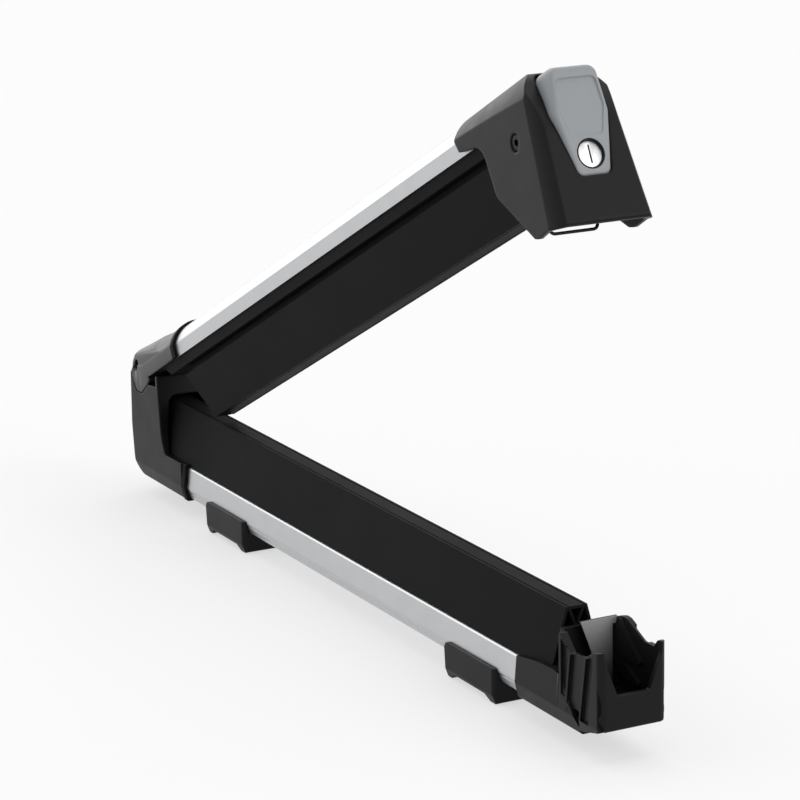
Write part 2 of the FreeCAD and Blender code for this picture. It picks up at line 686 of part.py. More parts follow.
def hollow_ended_pin(x, z, radius, half, bore, depth):
    """Steel pin across the carrier with a drilled hollow in each end."""
    pin = cross_rod(x, z, radius, half)
    hollow = rod(vec(x, half + 1, z), vec(0, -1, 0), bore, depth + 1)
    return pin.cut([hollow, flipped(hollow)])


def hinge_pin():
    return hollow_ended_pin(0, HINGE_HEIGHT, PIN_RADIUS, TOWER_HALF - PIN_RECESS, PIN_BORE, PIN_BORE_DEPTH)


# Hinge cap

def cap_leg():
    """Leg that fills the tower's notch while the arm is open, turned back to lying flat."""
    outline = notch_outline(NOTCH_GAP) + [
        (NOTCH_RIGHT[0] + 3, HINGE_HEIGHT - TOWER_REAR_DROP + 1),
        (NOTCH_RIGHT[0] - 8, HINGE_HEIGHT + 1),
        (NOTCH_LEFT[0] + 6, HINGE_HEIGHT + 1),
    ]
    leg = along_y(outline, -TOWER_HALF, -CHEEK_INNER)
    leg.rotate(vec(0, 0, HINGE_HEIGHT), vec(0, 1, 0), OPEN_ANGLE)
    return leg


def carriage_room():
    """Room under the cap for the upright carriage while the arm swings between flat and open."""
    half_x = CARRIAGE_HALF_X + 4 * RUN_GAP
    half_y = CARRIAGE_HALF_Y + RUN_GAP
    reach = ARM_BELOW_HINGE + 30
    angle = math.radians(OPEN_ANGLE)
    upright = box(-half_x, half_x, -half_y, half_y, HINGE_HEIGHT - reach, HINGE_HEIGHT)
    leaning = upright.copy()
    leaning.rotate(vec(0, 0, HINGE_HEIGHT), vec(0, 1, 0), OPEN_ANGLE)
    between = across([
        (0, HINGE_HEIGHT),
        (0, HINGE_HEIGHT - reach),
        (-reach * math.sin(angle), HINGE_HEIGHT - reach * math.cos(angle)),
    ], half_y)
    return [upright, leaning, between, cross_rod(0, HINGE_HEIGHT, half_x, half_y)]


def hinge_cap():
    outline = [
        (-CAP_NOSE + 2.0, ARM_LIP_Z + 2.0, 3.0),
        (0.0, ARM_LIP_Z),
        (CAP_END, ARM_LIP_Z),
        (CAP_END, CROWN_Z + 4),
        (6.0, CROWN_Z + 4),
        (-CAP_NOSE, HINGE_HEIGHT + 0.6, 6.0),
    ]
    body = across(outline, TOWER_HALF + 2)
    body = body.common(dome_prism(-20, CAP_END, SKIN, ARM_LIP_Z - 20))
    leg = cap_leg()
    rail_space = dome_prism(ARM_RAIL_START - FIT_GAP, CAP_END + 1, FIT_GAP, ARM_LIP_Z - 1)
    recess = rod(vec(0, TOWER_HALF - PIN_RECESS - PIN_STAND, HINGE_HEIGHT), vec(0, 1, 0),
                 PIN_RECESS_RADIUS, 6)
    bore = cross_rod(0, HINGE_HEIGHT, PIN_RADIUS + PIN_RUNNING_FIT, TOWER_HALF)
    cap = body.fuse([leg, flipped(leg)])
    return cap.cut(carriage_room() + [rail_space, bore, recess, flipped(recess)]).removeSplitter()


def upper_gasket():
    start = CAP_END
    end = start + GASKET_THICKNESS
    ring = dome_prism(start, end, SKIN + GASKET_PROUD, ARM_LIP_Z)
    return ring.cut(dome_prism(start - 1, end + 1, FIT_GAP, ARM_LIP_Z - 1))


# Latch housing

def latch_half_at(x, z):
    """Half width between the latch's leaning sides at one place."""
    share = (x - LATCH_START) / LATCH_LENGTH
    low = LATCH_HALF_REAR + (LATCH_HALF_FRONT - LATCH_HALF_REAR) * share
    return low - LATCH_SIDE_LEAN * (z - LATCH_LOW_Z)


def leaning_sides(drop):
    """Everything between the latch's two leaning sides, drawn in by drop."""
    start, end = LATCH_START - 5, LATCH_FRONT + 5
    low = LATCH_LOW_Z - 20
    height = CROWN_Z + 10 - low
    far = -2 * LATCH_HALF_FRONT
    plan = [vec(start, far, low), vec(end, far, low), vec(end, latch_half_at(end, low) - drop, low),
            vec(start, latch_half_at(start, low) - drop, low), vec(start, far, low)]
    side = Part.Face(Part.makePolygon(plan)).extrude(vec(0, -LATCH_SIDE_LEAN * height, height))
    return side.common(flipped(side))


def above_latch_roof():
    """What the tapering round roof takes off above the latch."""
    axis_rear = CROWN_Z + SKIN - LATCH_ROOF_REAR
    axis_front = CROWN_Z + SKIN + LATCH_ROOF_RISE - LATCH_ROOF_FRONT
    first, last = vec(LATCH_START, 0, axis_rear), vec(LATCH_FRONT, 0, axis_front)
    widen = (LATCH_ROOF_FRONT - LATCH_ROOF_REAR) / LATCH_LENGTH * 5
    axis = (last - first).normalize()
    roof = Part.makeCone(LATCH_ROOF_REAR - widen, LATCH_ROOF_FRONT + widen,
                         (last - first).Length + 10, first - axis * 5, axis)
    wide = 2 * LATCH_HALF_FRONT
    return box(LATCH_START - 6, LATCH_FRONT + 6, -wide, wide, axis_rear, CROWN_Z + 20).cut(roof)


def latch_side_view():
    """Side view: sleeve, curved rear edge, slanting foot, straight front and rounded top."""
    return seen_from(LATCH_FRONT, ARM_LIP_Z, [
        (LATCH_LENGTH - 1.0, 2.1, 1.5),
        (LATCH_LENGTH - 15.0, -0.4, 1.0),
        (LATCH_LENGTH - 29.0, -2.8, 14.0),
        (62.1, -33.3, 8.0),
        (26.7, 1.2 - LATCH_DEPTH, 3.0),
        (22.7, -LATCH_DEPTH, 2.0),
        (12.0, 1.0 - LATCH_DEPTH, 1.0),
        (0.0, -0.6 - LATCH_DEPTH, 2.0),
        (4.3, -6.8, 60.0),
        (16.3, 18.5, 12.0),
        (42.7, 24.0, 30.0),
        (LATCH_LENGTH, 24.0),
        (LATCH_LENGTH + 2.6, 9.0, 2.0),
    ])


def latch_hollow():
    """Inside of the latch: room for the catch below, for the lock and the lever above."""
    horn_top = RAIL_BOTTOM + HORN_ABOVE - HINGE_LIFT - ARM_LIP_Z
    front = LATCH_COVER - 2 * RUN_GAP
    rail_end = LATCH_FRONT - ARM_RAIL_END - 1
    side_view = seen_from(LATCH_FRONT, ARM_LIP_Z, [
        (62.2, -LATCH_DEPTH - 20),
        (front, -LATCH_DEPTH - 20),
        (front, horn_top + 2),
        (front + LATCH_WALL + 1.2, -16.8),
        (14.2, 7.2),
        (32.0, 19.4),
        (rail_end, 19.4),
        (rail_end, -1.0),
        (62.2, -1.0),
    ])
    radius = LATCH_ROOF_REAR - LATCH_WALL + 0.5
    axis_z = CROWN_Z + SKIN - LATCH_ROOF_REAR
    turns = [math.radians(t) for t in (20, 50, 80)]
    roof = [(radius * math.cos(t), axis_z + radius * math.sin(t)) for t in turns]
    low = [(LATCH_HALF_FRONT + 2, LATCH_LOW_Z - 20), (LATCH_HALF_FRONT + 2, axis_z)]
    section = along_x(mirrored(low + roof), LATCH_START - 5, LATCH_FRONT + 5)
    hollow = leaning_sides(LATCH_WALL).common(across(side_view, 2 * LATCH_HALF_FRONT)).common(section)
    corner = latch_corner(0.8 * LATCH_WALL, 0.0)
    return hollow.cut([corner, flipped(corner)])


def latch_corner(inset, bulge):
    """What the slanting corner takes off the -Y side, moved in by inset and rounded by bulge."""
    low = LATCH_LOW_Z - 4
    height = CROWN_Z + 10 - low
    side = vec(LATCH_FRONT - LATCH_CORNER_X - inset, -LATCH_HALF_FRONT + inset, low)
    front = vec(LATCH_FRONT - inset, -LATCH_HALF_FRONT + LATCH_CORNER_Y + inset, low)
    outward = vec(front.y - side.y, side.x - front.x, 0).normalize()
    if bulge > 0:
        edges = [Part.Arc(side, (side + front) * 0.5 + outward * bulge, front).toShape()]
    else:
        edges = [Part.LineSegment(side, front).toShape()]
    rim = [front, front + vec(16, 6, 0), front + vec(16, -22, 0), side + vec(-10, -16, 0), side]
    for start, end in zip(rim, rim[1:]):
        edges.append(Part.LineSegment(start, end).toShape())
    prism = Part.Face(Part.Wire(edges)).extrude(vec(0, 0, height))
    lean = FreeCAD.Rotation(vec(0, 0, 1), vec(-LATCH_CORNER_BACK, LATCH_CORNER_IN, height))
    prism.rotate(front, lean.Axis, math.degrees(lean.Angle))
    return prism


def button_face_x(z):
    return BUTTON_FACE_X + BUTTON_LEAN * (z - LOCK_Z)


def on_button_face(outline, shift, grow, flats):
    """Points of an outline on the button's leaning face, moved along x, its rounds drawn as flats."""
    corners = grown(mirrored([(half, LOCK_Z + above, radius) for half, above, radius in outline]), grow)
    points = [FreeCAD.Vector(c[0], c[1], 0) for c in corners]
    ring = []
    for i, corner in enumerate(corners):
        if flats == 0:
            ring.append(points[i])
        else:
            after = points[(i + 1) % len(points)]
            arc = Part.Arc(*rounded_corner(points[i - 1], points[i], after, corner[2]))
            ring.extend(arc.toShape().discretize(flats + 1))
    return [vec(button_face_x(p.y) + shift, p.x, p.y) for p in ring]


def button_ring(shift, grow, flats=BUTTON_FLATS):
    return on_button_face(BUTTON_OUTLINE, shift, grow, flats)


def flat_sided(rings):
    """Solid through rings of points whose sides lie parallel, so that every face is flat."""
    def face(points):
        return Part.Face(Part.makePolygon(points + points[:1]))

    faces = [face(rings[0]), face(rings[-1])]
    for near, far in zip(rings, rings[1:]):
        faces.extend(face([near[i - 1], near[i], far[i], far[i - 1]]) for i in range(len(near)))
    solid = Part.makeSolid(Part.makeShell(faces))
    if solid.Volume < 0:
        solid.reverse()
    return solid


def button_block(gap, depth, ahead=0.0):
    """The button's outside: a crowned face, a flared skirt behind it and a straight body."""
    return flat_sided([
        button_ring(ahead, gap - 0.4),
        button_ring(-BUTTON_CROWN, BUTTON_SKIRT * 0.45 + gap),
        button_ring(-BUTTON_FLARE, BUTTON_SKIRT + gap),
        button_ring(-depth, BUTTON_SKIRT + gap),
    ])


def latch_housing():
    corner = latch_corner(0.0, LATCH_CORNER_BULGE)
    outer = leaning_sides(0.0).common(across(latch_side_view(), 2 * LATCH_HALF_FRONT))
    outer = outer.cut([above_latch_roof(), corner, flipped(corner)])
    rail_space = dome_prism(LATCH_START - 5, ARM_RAIL_END + 1, FIT_GAP, ARM_LIP_Z - 14)
    rubber_end = ARM_RAIL_END - ARM_RUBBER_SHORT + 1
    rubber_space = box(LATCH_START - 5, rubber_end, -FLANGE_HALF - 1, FLANGE_HALF + 1,
                       LATCH_LOW_Z - 20, ARM_LIP_Z)
    opening = button_block(BUTTON_GAP, BUTTON_DEPTH + BUTTON_TRAVEL + 3, 6.0)
    pin_hole = cross_rod(LATCH_PIN_X, LATCH_PIN_Z, LATCH_PIN_RADIUS + PIN_RUNNING_FIT, 40)
    recess = rod(vec(LATCH_PIN_X, latch_recess_floor(), LATCH_PIN_Z), vec(0, 1, 0), LATCH_RECESS_RADIUS, 10)
    cuts = [latch_hollow(), rail_space, rubber_space, opening, pin_hole, recess, flipped(recess)]
    return largest(outer.cut(cuts))


def latch_recess_floor():
    """Distance of the pin recess's floor from the middle of the latch."""
    return latch_half_at(LATCH_PIN_X, LATCH_PIN_Z) - LATCH_RECESS


def latch_pin():
    half = latch_recess_floor() + LATCH_PIN_STAND
    return hollow_ended_pin(LATCH_PIN_X, LATCH_PIN_Z, LATCH_PIN_RADIUS, half, LATCH_PIN_BORE,
                            LATCH_PIN_BORE_DEPTH)


# Push button, lock and bail

def push_button():
    block = button_block(0.0, BUTTON_DEPTH)
    hollow = flat_sided([
        button_ring(-BUTTON_CROWN - BUTTON_WALL, -BUTTON_WALL, 0),
        button_ring(-BUTTON_DEPTH - 1, BUTTON_SKIRT - BUTTON_WALL, 0),
    ])
    boss_half = LOCK_RADIUS + BUTTON_WALL
    boss = box(BUTTON_FACE_X - LOCK_LENGTH + 0.8, BUTTON_FACE_X - BUTTON_WALL, -boss_half, boss_half,
               LOCK_Z + BUTTON_OUTLINE[0][1], LOCK_Z + boss_half)
    face_x = button_face_x(LEVER_PUSH_Z)
    pusher = box(face_x - BUTTON_DEPTH, face_x - BUTTON_WALL, -LEVER_PAD_HALF, LEVER_PAD_HALF,
                 LEVER_PUSH_Z - 1.0, LEVER_PUSH_Z - 1.0 + PUSHER_HEIGHT)
    lock_bore = rod(vec(BUTTON_FACE_X - 20, 0, LOCK_Z), vec(1, 0, 0), LOCK_RADIUS + 0.1, 30)
    return largest(block.cut(hollow).fuse([boss, pusher]).cut([lock_bore, button_panel()]))


def button_panel():
    """Shallow dished panel in the button's face, deepest at its top and running out below."""
    panel = flat_sided([
        on_button_face(PANEL_OUTLINE, -PANEL_DEPTH, -0.6, BUTTON_FLATS),
        on_button_face(PANEL_OUTLINE, PANEL_DEPTH, 0.6, BUTTON_FLATS),
    ])
    lean = math.degrees(math.atan(PANEL_DEPTH / (PANEL_OUTLINE[-1][1] - PANEL_OUTLINE[0][1])))
    panel.rotate(vec(BUTTON_FACE_X, 0, LOCK_Z + PANEL_OUTLINE[-1][1]), vec(0, 1, 0), -lean)
    return panel


def lock_cylinder():
    face_x = BUTTON_FACE_X - LOCK_INSET
    barrel = rod(vec(face_x - LOCK_LENGTH, 0, LOCK_Z), vec(1, 0, 0), LOCK_RADIUS, LOCK_LENGTH)
    slot = box(face_x - 2.0, face_x + 1, -LOCK_SLOT_WIDTH / 2, LOCK_SLOT_WIDTH / 2,
               LOCK_Z - LOCK_SLOT_HALF, LOCK_Z + LOCK_SLOT_HALF)
    return barrel.cut(slot)


def lock_cam():
    face_x = BUTTON_FACE_X - LOCK_INSET - LOCK_LENGTH
    return box(face_x - CAM_THICKNESS, face_x, -CAM_HALF, CAM_HALF, LOCK_Z - CAM_HALF, LOCK_Z + CAM_REACH)


def bail_lever():
    """Rocker on the latch pin: the button pushes its upper end, the wire hangs from its lower end."""
    push_x = button_face_x(LEVER_PUSH_Z) - BUTTON_DEPTH - PUSHER_GAP
    hub = cross_rod(LATCH_PIN_X, LATCH_PIN_Z, LEVER_RADIUS, LEVER_HALF)
    upper = across([
        (LATCH_PIN_X - 3.0, LATCH_PIN_Z), (LATCH_PIN_X + 4.0, LATCH_PIN_Z),
        (push_x, LEVER_PUSH_Z - 3.0), (push_x, LEVER_PUSH_Z), (push_x - 4.0, LEVER_PUSH_Z),
    ], LEVER_PAD_HALF)
    eye_low = BAIL_EYE_Z - 4.0
    lower = across([
        (LATCH_PIN_X - 4.5, LATCH_PIN_Z), (BAIL_EYE_X - 3.2, eye_low),
        (BAIL_EYE_X + 3.4, eye_low), (LATCH_PIN_X + 4.5, LATCH_PIN_Z),
    ], LEVER_HALF)
    bore = cross_rod(LATCH_PIN_X, LATCH_PIN_Z, LATCH_PIN_RADIUS + PIN_RUNNING_FIT, LEVER_HALF + 1)
    eye = cross_rod(BAIL_EYE_X, BAIL_EYE_Z, BAIL_WIRE + PIN_RUNNING_FIT, LEVER_HALF + 1)
    return hub.fuse([upper, lower]).cut([bore, eye]).removeSplitter()


def bent_rod(corners, bend, radius, flats):
    """Bar through the corner points, with flats around its section and short straights as bends."""
    path = [corners[0]]
    for before, here, after in zip(corners, corners[1:], corners[2:]):
        path.extend(rounded_corner(before, here, after, bend))
    path.append(corners[-1])
    turns = [2 * math.pi * (k + 0.5) / flats for k in range(flats)]
    ring = [corners[0] + vec(radius * math.cos(t), 0, radius * math.sin(t)) for t in turns]
    section = Part.makePolygon(ring + ring[:1])
    return Part.makePolygon(path).makePipeShell([section], True, False, 1)


def wire_bail():
    """Bent steel wire: its ends lie in the lever's eye, its cross bar below the latch's edge."""
    inner = LEVER_HALF - 3.0
    return bent_rod([
        vec(BAIL_EYE_X, -inner, BAIL_EYE_Z), vec(BAIL_EYE_X, -BAIL_HALF, BAIL_EYE_Z),
        vec(BAIL_X, -BAIL_HALF, BAIL_Z), vec(BAIL_X, BAIL_HALF, BAIL_Z),
        vec(BAIL_EYE_X, BAIL_HALF, BAIL_EYE_Z), vec(BAIL_EYE_X, inner, BAIL_EYE_Z),
    ], BAIL_BEND, BAIL_WIRE, BAIL_FLATS)


# Catch housing

def catch_view(corners):
    """Side view corners as distances back from the catch's front and up from the rail's underside."""
    return seen_from(CATCH_FRONT, RAIL_BOTTOM, corners)


def low_section(half_low, rest):
    """Section across the catch, drawn in at the bottom as the rail is, with the rest above."""
    return mirrored([
        (RAIL_LIP_HALF + half_low, RAIL_BOTTOM - SKIN - 0.6, 1.5),
        (RAIL_HALF + half_low, RAIL_WIDEST_AT, 5.0),
    ] + rest)


def catch_sleeve():
    """Sleeve that takes the end of the lower rail, running on under the cup."""
    section = low_section(SKIN, [(RAIL_TOP_HALF + SKIN, RAIL_TOP + SKIN - 0.4, 2.5)])
    side_view = across(catch_view([
        (CATCH_SLEEVE, -5), (21.6, -5), (24.6, 3.5), (42.1, 24.5, 8.0),
        (50.6, RAIL_HEIGHT + 4.6, 4.0), (65.6, RAIL_HEIGHT + 4.0, 8.0), (CATCH_SLEEVE, RAIL_HEIGHT + 1),
    ]), 25)
    end = CATCH_FRONT - 21.6
    raised = along_x(mirrored([
        (RAIL_HALF + SKIN, RAIL_WIDEST_AT),
        (RAIL_TOP_HALF + SKIN - 0.2, RAIL_TOP + 6, 2.0),
    ]), CATCH_START, end)
    return along_x(section, CATCH_START, end).fuse(raised).common(side_view)


def catch_cup():
    """Box at the end of the carrier, recessed along its sides, closed by the notched front wall."""
    plan = mirrored_plan([
        (CATCH_FRONT - CATCH_REAR_BACK, CATCH_REAR_HALF), (CATCH_FRONT - CATCH_SIDE_BACK, CATCH_HALF),
        (CATCH_FRONT, CATCH_HALF, CATCH_EDGE_RADIUS),
    ])
    top = STRIKE_ABOVE + 2.3
    side_view = across(catch_view([
        (CATCH_REAR_BACK, -2.1), (38.6, -1.6, 12.0), (19.6, 0.6, 10.0), (0.0, 5.8, 1.5),
        (0.0, HORN_ABOVE), (CATCH_REAR_BACK, top),
    ]), 30)
    section = along_x(low_section(SKIN, [(CATCH_HALF, RAIL_BOTTOM + top + 5)]),
                      CATCH_FRONT - CATCH_REAR_BACK, CATCH_FRONT + 1)
    cup = along_z(plan, RAIL_BOTTOM - 5, RAIL_BOTTOM + top + 1).common(side_view).common(section)
    recesses = []
    for outline in (
        [(39.8, 16.0), (35.4, 15.0), (31.4, 41.0), (39.8, 47.0)],
        [(34.0, 13.0), (22.2, 4.0), (15.6, 43.0), (13.6, 55.0), (30.0, 55.0), (30.0, 42.0)],
        [(20.4, 6.6), (12.0, 6.6), (6.8, 43.6), (9.0, 45.0), (14.2, 42.6)],
    ):
        recesses.append(along_y(catch_view(outline), -CATCH_HALF - 1, -CATCH_RECESS_HALF))
    deep = catch_view([(36.6, 2.0), (22.4, 2.6), (21.0, 10.4), (33.6, 10.4)])
    recesses.append(along_y(deep, -CATCH_HALF - 1, -CATCH_POCKET_HALF))
    return cup.cut(recesses + [flipped(r) for r in recesses])


def catch_front_edges():
    """Shaped side edges of the front wall: a small bead low down and a waist above it."""
    outside = CATCH_HALF + 3
    edge = along_x([
        (outside, RAIL_BOTTOM), (16.8, RAIL_BOTTOM + 5.0), (18.9, RAIL_BOTTOM + 10.0),
        (19.8, RAIL_BOTTOM + 11.4), (19.8, RAIL_BOTTOM + 13.2), (18.9, RAIL_BOTTOM + 15.6),
        (18.9, RAIL_BOTTOM + 21.0), (CATCH_HALF + 0.1, RAIL_BOTTOM + 32.0), (outside, RAIL_BOTTOM + 32.0),
    ], CATCH_FRONT - FRONT_WALL, CATCH_FRONT + 1)
    return [edge, flipped(edge)]


def catch_teeth():
    """Two slanting teeth on each side wall, which the wire bail catches under."""
    root = STRIKE_BACK + 1
    upper = [(root, 51.4), (39.0, 51.4), (19.0, 32.2, 1.2), (21.6, 30.4, 1.2), (31.6, 30.6, 2.0),
             (root, 30.6)]
    lower = [(39.0, 30.6), (21.0, 20.0, 0.9), (22.4, 18.6, 0.9), (root, 21.0), (root, 30.6)]
    teeth = []
    for outline in (upper, lower):
        tooth = along_y(catch_view(outline), TOOTH_INNER_HALF, CATCH_INNER_HALF + 0.5)
        teeth.extend([tooth, flipped(tooth)])
    return teeth


def catch_rims():
    """What is cut off the top of the cup: a low near side, a far side with its arm, and the rear."""
    rear, side = CATCH_REAR_BACK + 3.4, CATCH_SIDE_BACK
    near = along_y(catch_view([
        (rear, 57.0), (rear, CATCH_RIM_ABOVE), (side + 4.4, CATCH_RIM_ABOVE), (side - 0.4, 49.4, 1.0),
        (31.4, 40.2, 1.5), (15.4, 43.0, 2.0), (7.8, 47.6), (-1.4, HORN_ABOVE), (-1.4, 57.0),
    ]), -CATCH_HALF - 2, -TOOTH_INNER_HALF)
    far = along_y(catch_view([
        (rear, 57.0), (rear, CATCH_RIM_ABOVE), (side + 3.0, CATCH_RIM_ABOVE), (side + 2.0, 51.6),
        (36.6, 53.0, 1.0), (18.0, 44.8, 2.0), (8.4, 44.8), (4.8, 49.2),
        (-1.4, HORN_ABOVE), (-1.4, 57.0),
    ]), TOOTH_INNER_HALF + 0.3, CATCH_HALF + 2)
    back = box(CATCH_FRONT - rear, CATCH_FRONT - side + 0.6, -TOOTH_INNER_HALF, TOOTH_INNER_HALF + 0.4,
               RAIL_BOTTOM + CATCH_RIM_ABOVE, RAIL_BOTTOM + 57.0)
    return [near, far, back]


def catch_hollow():
    """Inside of the cup and the notch in its front wall."""
    floor = RAIL_BOTTOM + CATCH_FLOOR_ABOVE
    plan = mirrored_plan([
        (CATCH_FRONT - CATCH_REAR_BACK + CATCH_WALL, CATCH_REAR_HALF - CATCH_WALL / 2),
        (CATCH_FRONT - CATCH_SIDE_BACK + 0.6, CATCH_INNER_HALF),
        (CATCH_FRONT - FRONT_WALL, CATCH_INNER_HALF),
    ])
    horn_top = RAIL_BOTTOM + HORN_ABOVE
    notch = along_x(mirrored([
        (NOTCH_FLOOR_HALF, RAIL_BOTTOM + NOTCH_FLOOR_ABOVE, 1.6),
        (HORN_INNER, horn_top - 6.9, 8.0),
        (HORN_INNER + 1.4, horn_top + 2),
    ]), CATCH_FRONT - FRONT_WALL - 2, CATCH_FRONT + 2)
    return [along_z(plan, floor, horn_top + 20), notch]


def strike_plate():
    """Light plate across the cup, from the far side to a slanting edge near the middle."""
    end = CATCH_INNER_HALF + 0.5
    floor = RAIL_BOTTOM + CATCH_FLOOR_ABOVE - 1
    front = CATCH_FRONT - STRIKE_BACK
    return along_x([
        (end, floor), (end, RAIL_BOTTOM + STRIKE_ABOVE), (-5.0, RAIL_BOTTOM + STRIKE_ABOVE),
        (1.8, RAIL_BOTTOM + 33.2), (1.8, floor),
    ], front - STRIKE_THICKNESS, front)


def catch_housing():
    housing = catch_sleeve().fuse(catch_cup()).cut(catch_hollow())
    housing = housing.fuse(catch_teeth()).cut(catch_rims() + catch_front_edges()).fuse(strike_plate())
    rail_space = along_x(rail_outline(FIT_GAP), CATCH_START - 1, RAIL_END + FIT_GAP)
    rubber_space = rubber_gap(CATCH_START - 1, RAIL_END + FIT_GAP, 40)
    housing = housing.cut([rail_space, rubber_space] + screw_holes(CATCH_START + SCREW_INSET))
    return largest(housing.removeSplitter())


def housing_screws(x):
    """Heads of the pair of screws that hold a housing to the underside of the lower rail."""
    low, high = TOWER_BOTTOM + FIT_GAP / 2, RAIL_BOTTOM - FIT_GAP / 2
    return Part.makeCompound([hexagon(x, side * SCREW_HALF_SPACING, SCREW_FLATS, low, high)
                              for side in (-1, 1)])


# Feet

def foot(start):
    end = start + FOOT_LENGTH
    side_view = [
        (start + 1.5, 0.0, 1.5), (start + 6.0, 0.0), (start + 9.0, FOOT_ARCH),
        (end - FOOT_BLOCK, FOOT_ARCH), (end - FOOT_BLOCK + 5.0, 0.0),
        (end, 0.0, 1.5), (end, JAW_TOP), (start + 2.0, JAW_TOP, 1.5), (start, JAW_TOP - 3.0),
    ]
    plan = mirrored_plan([(start - 1, FOOT_HALF), (end, FOOT_HALF, FOOT_CORNER)])
    section = along_x(mirrored([
        (FOOT_HALF - FOOT_TAPER, 0.0), (FOOT_HALF, 5.0), (FOOT_HALF, JAW_TOP + 1),
    ]), start - 1, end + 1)
    body = across(side_view, FOOT_HALF).common(section).common(along_z(plan, -1, JAW_TOP + 1))
    saddle = along_x(rail_outline(RUN_GAP), start - 1, end + 1)
    over = box(start - 1, end + 1, -RAIL_TOP_HALF, RAIL_TOP_HALF, RAIL_BOTTOM + 4, JAW_TOP + 5)
    rib_low = RAIL_BOTTOM + GROOVE_ABOVE + RUN_GAP
    rib = both_sides(box(start + 4, end - FOOT_CORNER - 1, groove_floor() + RUN_GAP, RAIL_HALF + 0.7,
                         rib_low, rib_low + GROOVE_HEIGHT - 2 * RUN_GAP))
    bolt_x = start + FOOT_LENGTH / 2
    hole = rod(vec(bolt_x, 0, -1), vec(0, 0, 1), BOLT_RADIUS + 0.1, RAIL_BOTTOM + 2)
    nut_recess = hexagon(bolt_x, 0, NUT_FLATS + 2 * FIT_GAP, -1, NUT_LOW + NUT_HEIGHT)
    return body.cut([saddle, over, hole, nut_recess]).fuse(rib).removeSplitter()


def foot_bolt(start):
    x = start + FOOT_LENGTH / 2
    head_low = RAIL_BOTTOM + SLOT_LIP + RUN_GAP
    head = box(x - BOLT_HEAD_HALF, x + BOLT_HEAD_HALF, -BOLT_HEAD_HALF, BOLT_HEAD_HALF, head_low,
               head_low + BOLT_HEAD_HEIGHT)
    shank = rod(vec(x, 0, BOLT_TIP), vec(0, 0, 1), BOLT_RADIUS, head_low - BOLT_TIP)
    return head.fuse(shank).removeSplitter()


def foot_nut(start):
    x = start + FOOT_LENGTH / 2
    nut = hexagon(x, 0, NUT_FLATS, NUT_LOW, NUT_LOW + NUT_HEIGHT)
    return nut.cut(rod(vec(x, 0, 0), vec(0, 0, 1), BOLT_RADIUS + 0.02, 20))


# Assembly

def carrier():
    pieces = {
        "lower_rail": lower_rail(),
        "lower_rubber": lower_rubber(),
        "hinge_tower": hinge_tower(),
        "lower_gasket": lower_gasket(),
        "catch_housing": catch_housing(),
        "tower_screws": housing_screws(TOWER_FOOT_END - SCREW_INSET),
        "catch_screws": housing_screws(CATCH_START + SCREW_INSET),
        "hinge_carriage": hinge_carriage(),
    }
    arm = {
        "hinge_pin": hinge_pin(),
        "hinge_cap": hinge_cap(),
        "upper_gasket": upper_gasket(),
        "upper_rail": upper_rail(),
        "upper_rubber": upper_rubber(),
        "latch_housing": latch_housing(),
        "latch_pin": latch_pin(),
        "push_button": push_button(),
        "lock_cylinder": lock_cylinder(),
        "lock_cam": lock_cam(),
        "bail_lever": bail_lever(),
        "wire_bail": wire_bail(),
    }
    for name, shape in arm.items():
        pieces[name] = swung(shape)
    for name, start in zip(FOOT_NAMES, FOOT_STARTS):
        pieces[name + "_foot"] = foot(start)
        pieces[name + "_bolt"] = foot_bolt(start)
        pieces[name + "_nut"] = foot_nut(start)
    return pieces


os.makedirs("parts", exist_ok=True)
to_middle = vec(-(TOWER_BACK + CATCH_FRONT) / 2, 0, 0)
for node, shape in carrier().items():
    shape.translate(to_middle)
    print(node, len(shape.Solids), round(shape.Volume / 1000, 2), "cm3", shape.isValid())
    shape.exportStep("parts/" + node + ".step")
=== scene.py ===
import bmesh
import bpy
import math
from mathutils import Matrix, Vector


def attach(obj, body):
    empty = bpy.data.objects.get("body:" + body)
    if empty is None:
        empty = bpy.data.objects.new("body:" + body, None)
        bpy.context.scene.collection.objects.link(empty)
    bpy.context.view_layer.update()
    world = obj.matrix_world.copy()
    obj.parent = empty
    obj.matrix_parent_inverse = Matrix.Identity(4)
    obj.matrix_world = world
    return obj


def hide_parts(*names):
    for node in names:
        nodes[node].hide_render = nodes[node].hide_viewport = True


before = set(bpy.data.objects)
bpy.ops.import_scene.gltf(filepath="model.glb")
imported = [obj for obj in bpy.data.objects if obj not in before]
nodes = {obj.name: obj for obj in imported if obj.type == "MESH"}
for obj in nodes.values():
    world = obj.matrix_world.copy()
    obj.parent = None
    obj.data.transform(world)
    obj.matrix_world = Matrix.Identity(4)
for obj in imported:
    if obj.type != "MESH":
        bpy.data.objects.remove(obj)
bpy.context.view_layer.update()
scene = bpy.context.scene
scene.view_settings.view_transform = "Standard"


# The camera of the photograph: a long lens, about two metres off the latch end,
# a little above the object and turned to its near side.
VIEW_AZIMUTH = math.radians(27.6)
VIEW_ELEVATION = math.radians(14.7)
VIEW_ROLL = math.radians(1.0)
VIEW_PLACE = Vector((1.6448, -0.8344, 0.6104))
LENS_MM = 144.43

towards_camera = Vector((
    math.cos(VIEW_ELEVATION) * math.cos(VIEW_AZIMUTH),
    -math.cos(VIEW_ELEVATION) * math.sin(VIEW_AZIMUTH),
    math.sin(VIEW_ELEVATION),
))
level_right = (-towards_camera).cross(Vector((0, 0, 1))).normalized()
level_down = (-towards_camera).cross(level_right)
camera_right = math.cos(VIEW_ROLL) * level_right + math.sin(VIEW_ROLL) * level_down
camera_down = math.cos(VIEW_ROLL) * level_down - math.sin(VIEW_ROLL) * level_right
camera_turn = Matrix((camera_right, -camera_down, towards_camera)).transposed()

